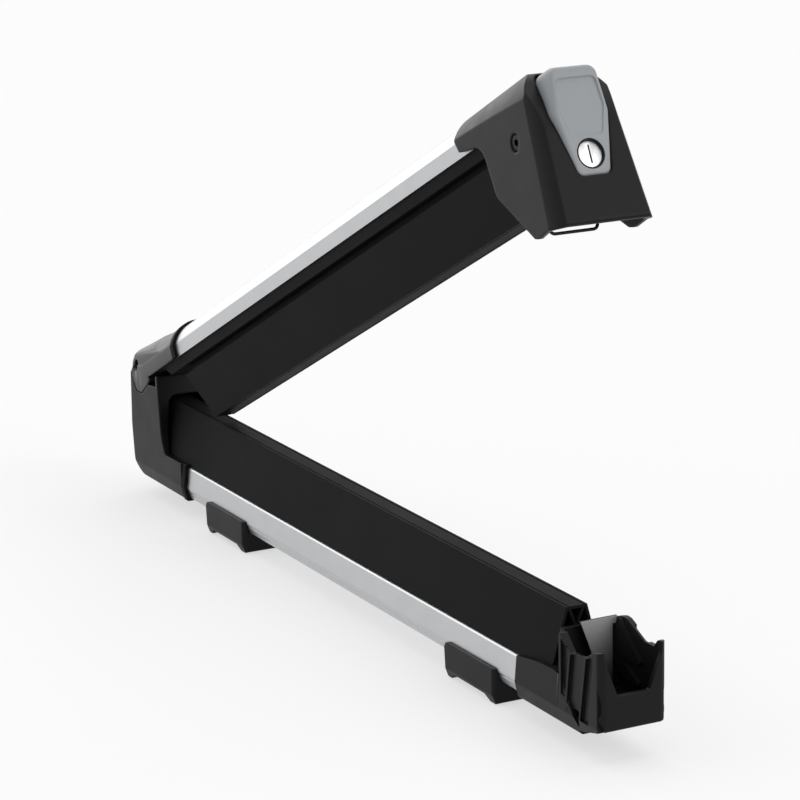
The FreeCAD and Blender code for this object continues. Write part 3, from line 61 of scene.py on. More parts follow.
camera = bpy.data.objects.new("photo_camera", bpy.data.cameras.new("photo_camera"))
camera.data.lens = LENS_MM
camera.data.sensor_width = 36.0
camera.data.clip_end = 50.0
camera.matrix_world = Matrix.Translation(VIEW_PLACE) @ camera_turn.to_4x4()
scene.collection.objects.link(camera)
scene.camera = camera


# The studio: a white paper floor under the feet and a white surround that the camera and
# the gloss see, with a wide soft light from above and weaker ones from behind, the near side
# and the latch end.
def linear(text):
    """The linear colour of an sRGB hex text, with alpha 1."""
    channels = [int(text[i:i + 2], 16) / 255 for i in (1, 3, 5)]
    return tuple(
        c / 12.92 if c <= 0.04045 else ((c + 0.055) / 1.055) ** 2.4 for c in channels
    ) + (1.0,)


def add_node(tree, kind, inputs=None, **settings):
    """Adds a node with its settings, and sets or links its inputs."""
    node = tree.nodes.new(kind)
    for name, value in settings.items():
        setattr(node, name, value)
    for name, value in (inputs or {}).items():
        socket = node.inputs[name]
        if isinstance(value, bpy.types.NodeSocket):
            tree.links.new(value, socket)
        else:
            socket.default_value = value
    return node


def seen_directly(tree):
    """1 for what the camera, the gloss or clear glass sees, 0 for what only lights the object."""
    path = add_node(tree, "ShaderNodeLightPath")
    seen = add_node(tree, "ShaderNodeMath", {
        0: path.outputs["Is Camera Ray"], 1: path.outputs["Is Glossy Ray"]}, operation="MAXIMUM")
    seen = add_node(tree, "ShaderNodeMath", {
        0: seen.outputs[0], 1: path.outputs["Is Transmission Ray"]}, operation="MAXIMUM")
    return seen.outputs[0]


WORLD_FILL = 0.40
world = bpy.data.worlds.new("white_surround")
world.use_nodes = True
world.node_tree.nodes.clear()
scene.world = world
tree = world.node_tree
level = add_node(tree, "ShaderNodeMapRange", {
    "Value": seen_directly(tree), "To Min": WORLD_FILL, "To Max": 1.0})
back = add_node(tree, "ShaderNodeBackground", {
    "Color": linear("#FFFFFF"), "Strength": level.outputs[0]})
add_node(tree, "ShaderNodeOutputWorld", {"Surface": back.outputs[0]})

FLOOR_HALF = 6.0
FLOOR_GAP = 0.0005           # keeps the floor clear of the feet's undersides
FLOOR_WHITE_SHARE = 0.62     # how much of the white surround the paper shows over its shadows
floor_mesh = bpy.data.meshes.new("paper_floor")
floor_mesh.from_pydata(
    [(-FLOOR_HALF, -FLOOR_HALF, 0), (FLOOR_HALF, -FLOOR_HALF, 0),
     (FLOOR_HALF, FLOOR_HALF, 0), (-FLOOR_HALF, FLOOR_HALF, 0)],
    [], [(0, 1, 2, 3)],
)
floor = bpy.data.objects.new("paper_floor", floor_mesh)
floor.location.z = -FLOOR_GAP
scene.collection.objects.link(floor)

paper = bpy.data.materials.new("white_paper")
paper.use_nodes = True
tree = paper.node_tree
tree.nodes.clear()
matt = add_node(tree, "ShaderNodeBsdfDiffuse", {"Color": linear("#F6F6F6")})
white = add_node(tree, "ShaderNodeEmission", {"Color": linear("#FFFFFF"), "Strength": 1.0})
share = add_node(tree, "ShaderNodeMath", {0: seen_directly(tree), 1: FLOOR_WHITE_SHARE},
                 operation="MULTIPLY")
mixed = add_node(tree, "ShaderNodeMixShader", {
    0: share.outputs[0], 1: matt.outputs[0], 2: white.outputs[0]})
add_node(tree, "ShaderNodeOutputMaterial", {"Surface": mixed.outputs[0]})
floor_mesh.materials.append(paper)

# each soft light: the direction it comes from, how wide it looks, and its strength
SOFT_LIGHTS = {
    "top_light": ((-0.25, 0.25, 1.0), 75, 1.25),
    "back_light": ((-1.0, -0.10, 0.32), 45, 0.55),
    "side_light": ((-0.70, -1.0, 0.60), 50, 0.45),
    "front_light": ((1.0, 0.50, 0.50), 40, 0.95),
}
for name, (source, width, strength) in SOFT_LIGHTS.items():
    light = bpy.data.objects.new(name, bpy.data.lights.new(name, "SUN"))
    light.data.angle = math.radians(width)
    light.data.energy = strength
    light.rotation_euler = Vector(source).to_track_quat("Z", "Y").to_euler()
    scene.collection.objects.link(light)


# The lower rail: an aluminium extrusion, sawn to length, satin anodised in its natural
# silver. The rubber, the tower and the catch are fixed to it.
def new_material(name):
    """An empty node material with its surface shader."""
    material = bpy.data.materials.new(name)
    material.use_nodes = True
    return material, material.node_tree, material.node_tree.nodes["Principled BSDF"]


def dress(material, *names):
    """Gives CAD nodes this material on every slot."""
    for name in names:
        mesh = nodes[name].data
        mesh.materials.clear()
        mesh.materials.append(material)


ARM_TURN = math.radians(26.3)


def anodised_aluminium(name, turn):
    """Extruded, etched and clear anodised: a soft silver with faint die lines along its length.
    The eye sees long fine streaks in the gloss and a slightly cloudy, cool tone."""
    material, tree, shader = new_material(name)
    spot = add_node(tree, "ShaderNodeTexCoord")
    along = add_node(tree, "ShaderNodeMapping", {"Vector": spot.outputs["Object"], "Rotation": (0, turn, 0)})
    # die lines 0.6 mm apart and about half a metre long
    stretched = add_node(tree, "ShaderNodeMapping", {"Vector": along.outputs[0], "Scale": (2, 1600, 1600)})
    lines = add_node(tree, "ShaderNodeTexNoise", {
        "Vector": stretched.outputs[0], "Scale": 1.0, "Detail": 3.0})
    # the etch is cloudy over about 15 mm
    clouds = add_node(tree, "ShaderNodeTexNoise", {"Vector": along.outputs[0], "Scale": 65.0, "Detail": 2.0})
    mixed = add_node(tree, "ShaderNodeMath", {0: lines.outputs["Fac"], 1: clouds.outputs["Fac"]},
                     operation="ADD")
    gloss = add_node(tree, "ShaderNodeMapRange", {
        "Value": mixed.outputs[0], "From Min": 0.6, "From Max": 1.4, "To Min": 0.27, "To Max": 0.40})
    tone = add_node(tree, "ShaderNodeValToRGB", {"Fac": clouds.outputs["Fac"]})
    tone.color_ramp.elements[0].color = linear("#B9BBBD")
    tone.color_ramp.elements[1].color = linear("#C4C5C7")
    bump = add_node(tree, "ShaderNodeBump", {
        "Height": lines.outputs["Fac"], "Strength": 0.18, "Distance": 0.00005})
    tree.links.new(tone.outputs["Color"], shader.inputs["Base Color"])
    tree.links.new(gloss.outputs[0], shader.inputs["Roughness"])
    tree.links.new(bump.outputs[0], shader.inputs["Normal"])
    shader.inputs["Metallic"].default_value = 1.0
    return material


lower_aluminium = anodised_aluminium("anodised_aluminium_lower", 0.0)
dress(lower_aluminium, "lower_rail")


# The lower rubber strip: black EPDM, extruded as a hollow wedge and pushed into the rail. The
# ring that seals the tower's sleeve on the rail is the same rubber.
def epdm_rubber(name, turn):
    """Extruded EPDM rubber: a dull black with a greyish bloom and fine lines along its length."""
    material, tree, shader = new_material(name)
    spot = add_node(tree, "ShaderNodeTexCoord")
    along = add_node(tree, "ShaderNodeMapping", {"Vector": spot.outputs["Object"], "Rotation": (0, turn, 0)})
    # drag lines 1.2 mm apart
    stretched = add_node(tree, "ShaderNodeMapping", {"Vector": along.outputs[0], "Scale": (6, 800, 800)})
    lines = add_node(tree, "ShaderNodeTexNoise", {
        "Vector": stretched.outputs[0], "Scale": 1.0, "Detail": 2.0})
    # skin grain of 0.4 mm, the bloom changes over about 40 mm
    grain = add_node(tree, "ShaderNodeTexNoise", {"Vector": along.outputs[0], "Scale": 2500.0, "Detail": 2.0})
    bloom = add_node(tree, "ShaderNodeTexNoise", {"Vector": along.outputs[0], "Scale": 25.0, "Detail": 3.0})
    tone = add_node(tree, "ShaderNodeValToRGB", {"Fac": bloom.outputs["Fac"]})
    tone.color_ramp.elements[0].color = linear("#161617")
    tone.color_ramp.elements[1].color = linear("#1E1E1F")
    gloss = add_node(tree, "ShaderNodeMapRange", {
        "Value": bloom.outputs["Fac"], "From Min": 0.3, "From Max": 0.7, "To Min": 0.52, "To Max": 0.62})
    coarse = add_node(tree, "ShaderNodeBump", {
        "Height": lines.outputs["Fac"], "Strength": 0.2, "Distance": 0.0001})
    fine = add_node(tree, "ShaderNodeBump", {
        "Height": grain.outputs["Fac"], "Strength": 0.25, "Distance": 0.00005, "Normal": coarse.outputs[0]})
    tree.links.new(tone.outputs["Color"], shader.inputs["Base Color"])
    tree.links.new(gloss.outputs[0], shader.inputs["Roughness"])
    tree.links.new(fine.outputs[0], shader.inputs["Normal"])
    shader.inputs["Specular IOR Level"].default_value = 0.035
    return material


lower_epdm = epdm_rubber("epdm_rubber_lower", 0.0)
dress(lower_epdm, "lower_rubber", "lower_gasket")


# The hinge tower, its carriage and the catch: black glass filled nylon, injection moulded
# with a fine eroded grain. The tower and the catch are screwed to the lower rail from below,
# and the carriage slides up and down in the tower.
def moulded_nylon(name, dark, light, low, high, level, edge):
    """Injection moulded plastic: a satin skin whose fine spark eroded grain softens the gloss,
    with edges that catch the light because they are rounded in the mould. It takes the skin's
    darkest and lightest tone, its least and most roughness, its shine and the edges' rounding."""
    material, tree, shader = new_material(name)
    spot = add_node(tree, "ShaderNodeTexCoord")
    # spark eroded grain of 0.5 mm, drawn a little coarser than the real 0.2 mm
    grain = add_node(tree, "ShaderNodeTexNoise", {
        "Vector": spot.outputs["Object"], "Scale": 2000.0, "Detail": 2.0, "Roughness": 0.6})
    # flow marks over about 20 mm
    flow = add_node(tree, "ShaderNodeTexNoise", {
        "Vector": spot.outputs["Object"], "Scale": 50.0, "Detail": 3.0})
    tone = add_node(tree, "ShaderNodeValToRGB", {"Fac": flow.outputs["Fac"]})
    tone.color_ramp.elements[0].color = linear(dark)
    tone.color_ramp.elements[1].color = linear(light)
    gloss = add_node(tree, "ShaderNodeMapRange", {
        "Value": flow.outputs["Fac"], "From Min": 0.3, "From Max": 0.7, "To Min": low, "To Max": high})
    edges = add_node(tree, "ShaderNodeBevel", {"Radius": edge}, samples=6)
    bump = add_node(tree, "ShaderNodeBump", {
        "Height": grain.outputs["Fac"], "Strength": 0.3, "Distance": 0.00005, "Normal": edges.outputs[0]})
    tree.links.new(tone.outputs["Color"], shader.inputs["Base Color"])
    tree.links.new(gloss.outputs[0], shader.inputs["Roughness"])
    tree.links.new(bump.outputs[0], shader.inputs["Normal"])
    shader.inputs["Specular IOR Level"].default_value = level
    return material


HOUSING_EDGE = 0.0018        # metres, the rounding of the big housings' outer edges
THIN_EDGE = 0.0006           # the thin walls' rounding
BLACK_NYLON = ("#131314", "#18181A", 0.34, 0.42, 0.12)       # its tones, roughness and shine
housing_nylon = moulded_nylon("moulded_black_nylon", *BLACK_NYLON, HOUSING_EDGE)
thin_nylon = moulded_nylon("moulded_black_nylon_thin_walls", *BLACK_NYLON, THIN_EDGE)
dress(housing_nylon, "hinge_tower")
dress(thin_nylon, "hinge_carriage")

# The catch's strike plate gets a painted highlight in place of the light it reflects, palest at its top and
# fading downwards: a soft pale patch on its front face alone, found by its place across the cup.
STRIKE_FACE_X, STRIKE_HALF = 0.2598, 0.0225       # metres
STRIKE_LOW, STRIKE_TOP = 0.022, 0.066
FACE_DEPTH = 0.0002                               # how near a point is to count as on the face
catch_nylon = moulded_nylon("moulded_black_nylon_catch", *BLACK_NYLON, THIN_EDGE)
tree = catch_nylon.node_tree
spot = add_node(tree, "ShaderNodeTexCoord")
place = add_node(tree, "ShaderNodeSeparateXYZ", {0: spot.outputs["Object"]})
off_face = add_node(tree, "ShaderNodeMath", {
    0: place.outputs["X"], 1: STRIKE_FACE_X}, operation="SUBTRACT")
off_face = add_node(tree, "ShaderNodeMath", {0: off_face.outputs[0]}, operation="ABSOLUTE")
on_face = add_node(tree, "ShaderNodeMath", {0: off_face.outputs[0], 1: FACE_DEPTH}, operation="LESS_THAN")
inside = add_node(tree, "ShaderNodeMath", {0: place.outputs["Y"]}, operation="ABSOLUTE")
inside = add_node(tree, "ShaderNodeMath", {0: inside.outputs[0], 1: STRIKE_HALF}, operation="LESS_THAN")
height = add_node(tree, "ShaderNodeMapRange", {
    "Value": place.outputs["Z"], "From Min": STRIKE_LOW, "From Max": STRIKE_TOP,
    "To Min": 0.0, "To Max": 1.0})
strike_highlight_mask = add_node(tree, "ShaderNodeMath", {
    0: on_face.outputs[0], 1: inside.outputs[0]}, operation="MULTIPLY")
strike_highlight_mask = add_node(tree, "ShaderNodeMath", {
    0: strike_highlight_mask.outputs[0], 1: height.outputs[0]}, operation="MULTIPLY")
shader = tree.nodes["Principled BSDF"]
plain = shader.inputs["Base Color"].links[0].from_socket
# painted highlight: pale grey mixed into the plate's black, strongest at its top
strike_painted_highlight = add_node(tree, "ShaderNodeMix", {
    0: strike_highlight_mask.outputs[0], 6: plain, 7: linear("#A6A6A6")}, data_type="RGBA")
tree.links.new(strike_painted_highlight.outputs[2], shader.inputs["Base Color"])
dress(catch_nylon, "catch_housing")


# The upper arm: a domed aluminium extrusion with its own rubber, turned up with the arm.
# It is the same silver and the same rubber, with the lines along the arm.
upper_aluminium = anodised_aluminium("anodised_aluminium_upper", ARM_TURN)
dress(upper_aluminium, "upper_rail")
upper_epdm = epdm_rubber("epdm_rubber_upper", ARM_TURN)
dress(upper_epdm, "upper_rubber", "upper_gasket")


# The hinge cap closes the arm's hinge end: black nylon with a flat round knuckle on each side,
# in which the hinge pin's end lies sunk. It is moulded in one and slid on to the rail.
HINGE_AXIS = Vector((-0.2964, 0.0, 0.0875))
along_arm = Vector((math.cos(ARM_TURN), 0, math.sin(ARM_TURN)))
off_arm = Vector((-math.sin(ARM_TURN), 0, math.cos(ARM_TURN)))


def arm_place(x, y, z):
    """Where a point of the upper arm lies in the open arm, from its millimetres from the
    hinge axis: x along the arm, y across it, z away from the lower arm."""
    return HINGE_AXIS + (along_arm * x + Vector((0, y, 0)) + off_arm * z) / 1000


def new_piece(name, mesh, material, body):
    """A piece of this mesh and material that rides on a body."""
    mesh.name = name
    mesh.materials.clear()
    mesh.materials.append(material)
    piece = bpy.data.objects.new(name, mesh)
    scene.collection.objects.link(piece)
    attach(piece, body)
    return piece


def face_outwards(mesh):
    """Turns the faces of a closed mesh outwards."""
    shell = bmesh.new()
    shell.from_mesh(mesh)
    bmesh.ops.recalc_face_normals(shell, faces=shell.faces)
    shell.to_mesh(mesh)
    shell.free()


def through_rings(rings):
    """Closed mesh through rings of as many points each, with a face on each end."""
    count = len(rings[0])
    faces = [tuple(range(count)), tuple(range((len(rings) - 1) * count, len(rings) * count))]
    for ring in range(len(rings) - 1):
        for i in range(count):
            after = (i + 1) % count
            low, high = ring * count, (ring + 1) * count
            faces.append((low + i, low + after, high + after, high + i))
    mesh = bpy.data.meshes.new("rings")
    mesh.from_pydata([tuple(point) for ring in rings for point in ring], [], faces)
    face_outwards(mesh)
    return mesh


def cross_discs(steps, count=56):
    """Closed mesh round the hinge's axis, through (y, radius) steps."""
    return through_rings([[
        arm_place(radius * math.cos(math.tau * i / count), y, radius * math.sin(math.tau * i / count))
        for i in range(count)
    ] for y, radius in steps])


def shade_smooth(mesh, sharp_from):
    """Smooth faces, but for edges that turn by more than an angle in degrees."""
    for face in mesh.polygons:
        face.use_smooth = True
    mesh.set_sharp_from_angle(angle=math.radians(sharp_from))


def joined_and_cut(mesh, joined, cut, sharp_from):
    """The mesh with other closed meshes joined to it and cut out of it, shaded smooth."""
    carrier = bpy.data.objects.new("carrier", mesh)
    scene.collection.objects.link(carrier)
    tools = []
    for kind, others in (("UNION", joined), ("DIFFERENCE", cut)):
        for other in others:
            tool = bpy.data.objects.new("tool", other)
            scene.collection.objects.link(tool)
            tools.append(tool)
            step = carrier.modifiers.new("step", "BOOLEAN")
            step.operation = kind
            step.solver = "EXACT"
            step.object = tool
    result = bpy.data.meshes.new_from_object(carrier.evaluated_get(bpy.context.evaluated_depsgraph_get()))
    for spare in tools + [carrier]:
        bpy.data.objects.remove(spare)
    shade_smooth(result, sharp_from)
    return result


MERGE_WITHIN = 0.000002      # metres


def merged_copy(node):
    """A node's mesh as one closed shell."""
    shell = bmesh.new()
    shell.from_mesh(nodes[node].data)
    bmesh.ops.remove_doubles(shell, verts=shell.verts, dist=MERGE_WITHIN)
    mesh = bpy.data.meshes.new("merged")
    shell.to_mesh(mesh)
    shell.free()
    return mesh


KNUCKLE_X, KNUCKLE_Z = -0.4, 0.2         # its middle from the hinge axis, in mm
KNUCKLE_RADIUS = 7.9
KNUCKLE_STEPS = ((14.2, 0.0), (18.9, 0.0), (19.8, 0.3), (20.3, 0.8), (20.48, 1.5))   # y, rounding
KNUCKLE_LEAN = 0.20                      # how far its face comes in for each millimetre up
KNUCKLE_LOW = -8.0                       # its lower side, inside the cap
KNUCKLE_FROM = math.radians(250)         # where its round begins, below the pin
KNUCKLE_ARC_STEPS = 24
SHOULDER_START, SHOULDER_END = 4.0, (60.0, -4.0)     # the shoulder that runs down along the cap
CAP_HALF = 20.5
PIN_RECESS_RADIUS = 3.8
PIN_RECESS_FLOOR = 15.8


def knuckle_ring(side, y, inset):
    """Points of the knuckle's outline: round behind the pin, then straight down to the cap's side."""
    radius = KNUCKLE_RADIUS - inset
    end = Vector(SHOULDER_END) - Vector((0, inset))
    middle = Vector((KNUCKLE_X, KNUCKLE_Z))
    reach = end - middle
    tangent = math.atan2(reach.y, reach.x) + math.acos(radius / reach.length)
    points = []
    for i in range(KNUCKLE_ARC_STEPS + 1):
        turn = KNUCKLE_FROM + (tangent - KNUCKLE_FROM) * i / KNUCKLE_ARC_STEPS
        points.append(middle + Vector((math.cos(turn), math.sin(turn))) * radius)
    points += [end, Vector((SHOULDER_END[0], KNUCKLE_LOW)), Vector((SHOULDER_START, KNUCKLE_LOW))]
    out = (y - KNUCKLE_STEPS[0][0]) / (CAP_HALF - KNUCKLE_STEPS[0][0])
    return [
        arm_place(p.x, side * (y - out * KNUCKLE_LEAN * max(0.0, p.y - SHOULDER_END[1])), p.y)
        for p in points
    ]


CROWN_HALF, CROWN_TOP = 18.0, 12.0       # half width of the raised back, and its height at the pin
CROWN_END, CROWN_RUN_OUT = 55.0, 20.0    # where the raised back has sunk into the dome, over how long
CROWN_FULLNESS = 3.5                     # 2 is a plain arch, more is boxier
CROWN_COVER, CROWN_LEAST = 0.6, 0.2      # how deep its underside lies in the dome, and its least thickness
CROWN_EDGE_FALL = 0.2                    # how far its edges go down for each millimetre ahead
CROWN_ACROSS = 18                        # steps from its middle to each edge
CROWN_STEPS = (-7.7, -7.5, -7.1, -6.5, -5.8, -4.7, -3.3, -1.8, 0.0, 3.0, 6.0, 10.0, 15.0, 20.0, 26.0,
               33.0, 41.0, 49.0, CROWN_END)
DOME_TOP, DOME_RADIUS = 10.39, 21.9      # the dome that the cap shares with the rail
BACK_RADIUS, SLOT_RADIUS = 7.75, 7.5     # round behind the pin, outside and over the carriage's slot
CUT_AT_PIN, CUT_SLOPE = 7.4, 1.034       # the slanting end of the dome that the raised back covers


def crown_ring(x):
    """Section of the raised back: over the top from shoulder to shoulder, and back under it."""
    top, under = [], []
    ahead = max(0.0, x)
    edge = KNUCKLE_RADIUS + KNUCKLE_Z - ahead * CROWN_EDGE_FALL
    crown = DOME_TOP + (CROWN_TOP - DOME_TOP) * (1 - ahead / CROWN_END)
    slot = math.sqrt(max(0.0, SLOT_RADIUS ** 2 - x ** 2))
    for i in range(2 * CROWN_ACROSS + 1):
        y = CROWN_HALF * (i / CROWN_ACROSS - 1)
        height = edge + (crown - edge) * (1 - abs(y / CROWN_HALF) ** CROWN_FULLNESS)
        if x < 0:
            height *= math.sqrt(1 - (x / BACK_RADIUS) ** 2)
        dome = DOME_TOP - DOME_RADIUS + math.sqrt(DOME_RADIUS ** 2 - y ** 2)
        low = max(min(dome, CUT_AT_PIN + CUT_SLOPE * x) - CROWN_COVER, slot)
        height = low + (height - low) * min(1.0, (CROWN_END - ahead) / CROWN_RUN_OUT)
        top.append(arm_place(x, y, max(height, low + CROWN_LEAST)))
        under.append(arm_place(x, y, low))
    return top + under[::-1]


crown_back = through_rings([crown_ring(x) for x in CROWN_STEPS])
knuckles = []
recesses = []
for side in (-1, 1):
    knuckles.append(through_rings([knuckle_ring(side, y, inset) for y, inset in KNUCKLE_STEPS]))
    recesses.append(cross_discs([
        (side * PIN_RECESS_FLOOR, PIN_RECESS_RADIUS), (side * (CAP_HALF + 2), PIN_RECESS_RADIUS)]))
cap_mesh = joined_and_cut(merged_copy("hinge_cap"), knuckles + [crown_back], recesses, 24)
# the cap is the same black nylon as the housings, given more shine and a lighter tone; the lighter tone is
# painted light, standing in for the light that the cap catches
cap_nylon_painted_lighter = moulded_nylon(
    "moulded_black_nylon_cap", "#1B1B1D", "#212123", 0.34, 0.42, 0.40, HOUSING_EDGE)
cap = new_piece("knuckled_hinge_cap", cap_mesh, cap_nylon_painted_lighter, "arm")
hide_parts("hinge_cap")


# The latch housing closes the arm's far end: the same black nylon, hollow, with the button
# in its front. The bail lever inside it is moulded of the same.
dress(housing_nylon, "latch_housing")
dress(thin_nylon, "bail_lever")


# The push button: grey ABS, crowned, with a dished panel for the thumb and a flared skirt that runs in the
# housing.
BUTTON_FACE_X, LOCK_Z = 602.9, -43.3      # its face and the lock's middle, from the hinge axis in mm
BUTTON_LEAN = 0.05           # how far its face comes forward for each millimetre up
BUTTON_DEPTH, BUTTON_WALL, BUTTON_EDGE = 14.6, 2.0, 0.0005       # the edge in metres
# the outlines' corners: half width, height about the lock, rounding
BUTTON_OUTLINE = ((8.4, -10.0, 2.6), (14.3, 22.0, 9.0), (12.0, 44.8, 3.6))
PANEL_OUTLINE = ((9.4, 9.2, 2.4), (13.6, 24.5, 9.0), (11.8, 40.6, 3.2))
# how far ahead of the face, and how much wider than the outline
BUTTON_RINGS = ((0.0, -0.2), (-0.2, 0.5), (-0.6, 1.1), (-1.3, 1.6), (-3.0, 2.2), (-5.0, 2.8),
                (-BUTTON_DEPTH, 2.8))
HOLLOW_RINGS = ((-0.9 - BUTTON_WALL, -BUTTON_WALL), (-BUTTON_DEPTH - 1.0, 0.8))
# how far back they reach, their half width, and from and to which height about the lock
LOCK_BOSS = (13.2, 9.5, -9.9, 9.5)
PUSHER = (BUTTON_DEPTH, 8.0, 35.0, 38.0)
PANEL_DEPTH = 1.2
PANEL_LEAST = 0.30           # its depth at its lower end, of the depth at its top
LOCK_BORE = 7.6              # radius


def rounded_outline(outline, grow, steps):
    """Points (y, z) of a symmetric outline about the lock, grown all round, with its corners
    rounded by steps points each."""
    right = [Vector((half, height)) for half, height, radius in outline]
    left = [Vector((-half, height)) for half, height, radius in reversed(outline)]
    corners = right + left
    radii = [item[2] for item in outline] + [item[2] for item in reversed(outline)]
    count = len(corners)
    normals = []
    for i in range(count):
        run = (corners[(i + 1) % count] - corners[i]).normalized()
        normals.append(Vector((run.y, -run.x)))
    moved = []
    for i in range(count):
        before, after = normals[i - 1], normals[i]
        middle = (before + after).normalized()
        moved.append(corners[i] + middle * (grow / middle.dot(after)))
    points = []
    for i in range(count):
        back = (moved[i - 1] - moved[i]).normalized()
        ahead = (moved[(i + 1) % count] - moved[i]).normalized()
        half_angle = back.angle(ahead) / 2
        radius = max(radii[i] + grow, 0.4)
        middle = moved[i] + (back + ahead).normalized() * (radius / math.sin(half_angle))
        start = moved[i] + back * (radius / math.tan(half_angle)) - middle
        end = moved[i] + ahead * (radius / math.tan(half_angle)) - middle
        sweep = math.atan2(start.x * end.y - start.y * end.x, start.dot(end))
        for step in range(steps + 1):
            turn = sweep * step / steps
            points.append(middle + Vector((
                start.x * math.cos(turn) - start.y * math.sin(turn),
                start.x * math.sin(turn) + start.y * math.cos(turn))))
    return points


def on_button(shift, point):
    """Where a point (y, z) about the lock lies on the button's face, moved by shift along the arm."""
    return arm_place(BUTTON_FACE_X + BUTTON_LEAN * point[1] + shift, point[0], LOCK_Z + point[1])


def button_shape(rings):
    """Closed mesh of the button's outline through (shift, grow) rings."""
    return through_rings([
        [on_button(shift, point) for point in rounded_outline(BUTTON_OUTLINE, grow, 10)]
        for shift, grow in rings
    ])


def lock_discs(steps, count=64):
    """Closed mesh round the lock's axis through (shift, radius) steps."""
    return through_rings([[
        arm_place(BUTTON_FACE_X + shift, radius * math.cos(math.tau * i / count),
                  LOCK_Z + radius * math.sin(math.tau * i / count)) for i in range(count)
    ] for shift, radius in steps])


def panel_ring(depth, grow):
    """Points of the dished panel's outline, deepest at its top and running out below."""
    panel_low, panel_high = PANEL_OUTLINE[0][1], PANEL_OUTLINE[-1][1]
    ring = []
    for point in rounded_outline(PANEL_OUTLINE, grow, 8):
        share = (point[1] - panel_low) / (panel_high - panel_low)
        if depth > 0:
            ring.append(on_button(-depth * (PANEL_LEAST + (1 - PANEL_LEAST) * share), point))
        else:
            ring.append(on_button(-depth, point))
    return ring


def inside_button(back, half, low, high):
    """Box in the button's hollow, from its front wall to millimetres behind its face."""
    corners = ((-half, low), (half, low), (half, high), (-half, high))
    return through_rings([
        [on_button(shift, corner) for corner in corners] for shift in (-back, -BUTTON_WALL)])


panel_tool = through_rings([panel_ring(PANEL_DEPTH, -0.6), panel_ring(0.001, 0.05), panel_ring(-2.0, 1.0)])
hollow_tool = button_shape(HOLLOW_RINGS)
bore_tool = lock_discs([(-20.0, LOCK_BORE), (3.0, LOCK_BORE)])
button_mesh = joined_and_cut(button_shape(BUTTON_RINGS), [], [panel_tool, hollow_tool], 28)
inner_forms = [inside_button(*LOCK_BOSS), inside_button(*PUSHER)]
button_mesh = joined_and_cut(button_mesh, inner_forms, [bore_tool], 28)
# moulded grey ABS: a light even grey, satin
grey_abs = moulded_nylon("moulded_grey_abs", "#939699", "#999C9F", 0.38, 0.45, 0.30, BUTTON_EDGE)
button = new_piece("crowned_button", button_mesh, grey_abs, "button")
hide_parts("push_button")


# The lock: a chrome plated zinc barrel, sunk in a black sleeve in the button's bore, with a dark steel
# shutter in its keyway. The sleeve and the shutter are dark pieces put where there is shade: painted shade
# for the bore and the keyway.
def plated_metal(name, colour, low, high):
    """Plated metal: a smooth gloss, a little uneven from polishing before the plating."""
    material, tree, shader = new_material(name)
    spot = add_node(tree, "ShaderNodeTexCoord")
    # polishing marks of 1 mm
    marks = add_node(tree, "ShaderNodeTexNoise", {
        "Vector": spot.outputs["Object"], "Scale": 900.0, "Detail": 4.0})
    gloss = add_node(tree, "ShaderNodeMapRange", {
        "Value": marks.outputs["Fac"], "From Min": 0.3, "From Max": 0.7, "To Min": low, "To Max": high})
    edges = add_node(tree, "ShaderNodeBevel", {"Radius": 0.0002}, samples=4)
    tree.links.new(gloss.outputs[0], shader.inputs["Roughness"])
    tree.links.new(edges.outputs[0], shader.inputs["Normal"])
    shader.inputs["Base Color"].default_value = linear(colour)
    shader.inputs["Metallic"].default_value = 1.0
    return material


LOCK_RADIUS, LOCK_DEPTH = 7.15, 14.4
LOCK_SUNK = 1.1              # its face behind the button's
LOCK_EDGE = ((0.45, 0.0), (0.12, 0.14), (0.0, 0.45))      # behind its face, narrower by
KEYWAY_DEPTH, KEYWAY_HALF_HEIGHT, KEYWAY_HALF_WIDTH = 3.0, 4.9, 0.45
SHUTTER_SUNK, SHUTTER_END = 0.7, 2.8       # the shutter's front and back behind the lock's face
SHUTTER_SIDE_PLAY, SHUTTER_END_PLAY = 0.02, 0.05


def lock_block(back, ahead, half_width, half_height):
    """Box on the lock's axis."""
    corners = ((-half_width, -half_height), (half_width, -half_height),
               (half_width, half_height), (-half_width, half_height))
    return through_rings([
        [arm_place(BUTTON_FACE_X + shift, y, LOCK_Z + z) for y, z in corners] for shift in (back, ahead)])


barrel_round = lock_discs([(-LOCK_DEPTH, LOCK_RADIUS)] + [
    (-LOCK_SUNK - behind, LOCK_RADIUS - narrower) for behind, narrower in LOCK_EDGE])
keyway = lock_block(-LOCK_SUNK - KEYWAY_DEPTH, 1.0, KEYWAY_HALF_WIDTH, KEYWAY_HALF_HEIGHT)
# chromed zinc: a bright grey with a soft, slightly brushed gloss
chromed_zinc = plated_metal("chromed_zinc", "#BEBEBF", 0.34, 0.44)
barrel_mesh = joined_and_cut(barrel_round, [], [keyway], 30)
barrel = new_piece("lock_barrel", barrel_mesh, chromed_zinc, "lock")
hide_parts("lock_cylinder")
# blackened steel: nearly black, with a dull metal gloss
black_steel = plated_metal("blackened_steel", "#2A2A2B", 0.32, 0.45)
# painted shade: a dark plate just behind the keyway's mouth, so that the slot reads dark like the shade
# inside it
keyway_shade_shutter_mesh = lock_block(
    -LOCK_SUNK - SHUTTER_END, -LOCK_SUNK - SHUTTER_SUNK,
    KEYWAY_HALF_WIDTH - SHUTTER_SIDE_PLAY, KEYWAY_HALF_HEIGHT - SHUTTER_END_PLAY)
new_piece("key_shutter", keyway_shade_shutter_mesh, black_steel, "lock")
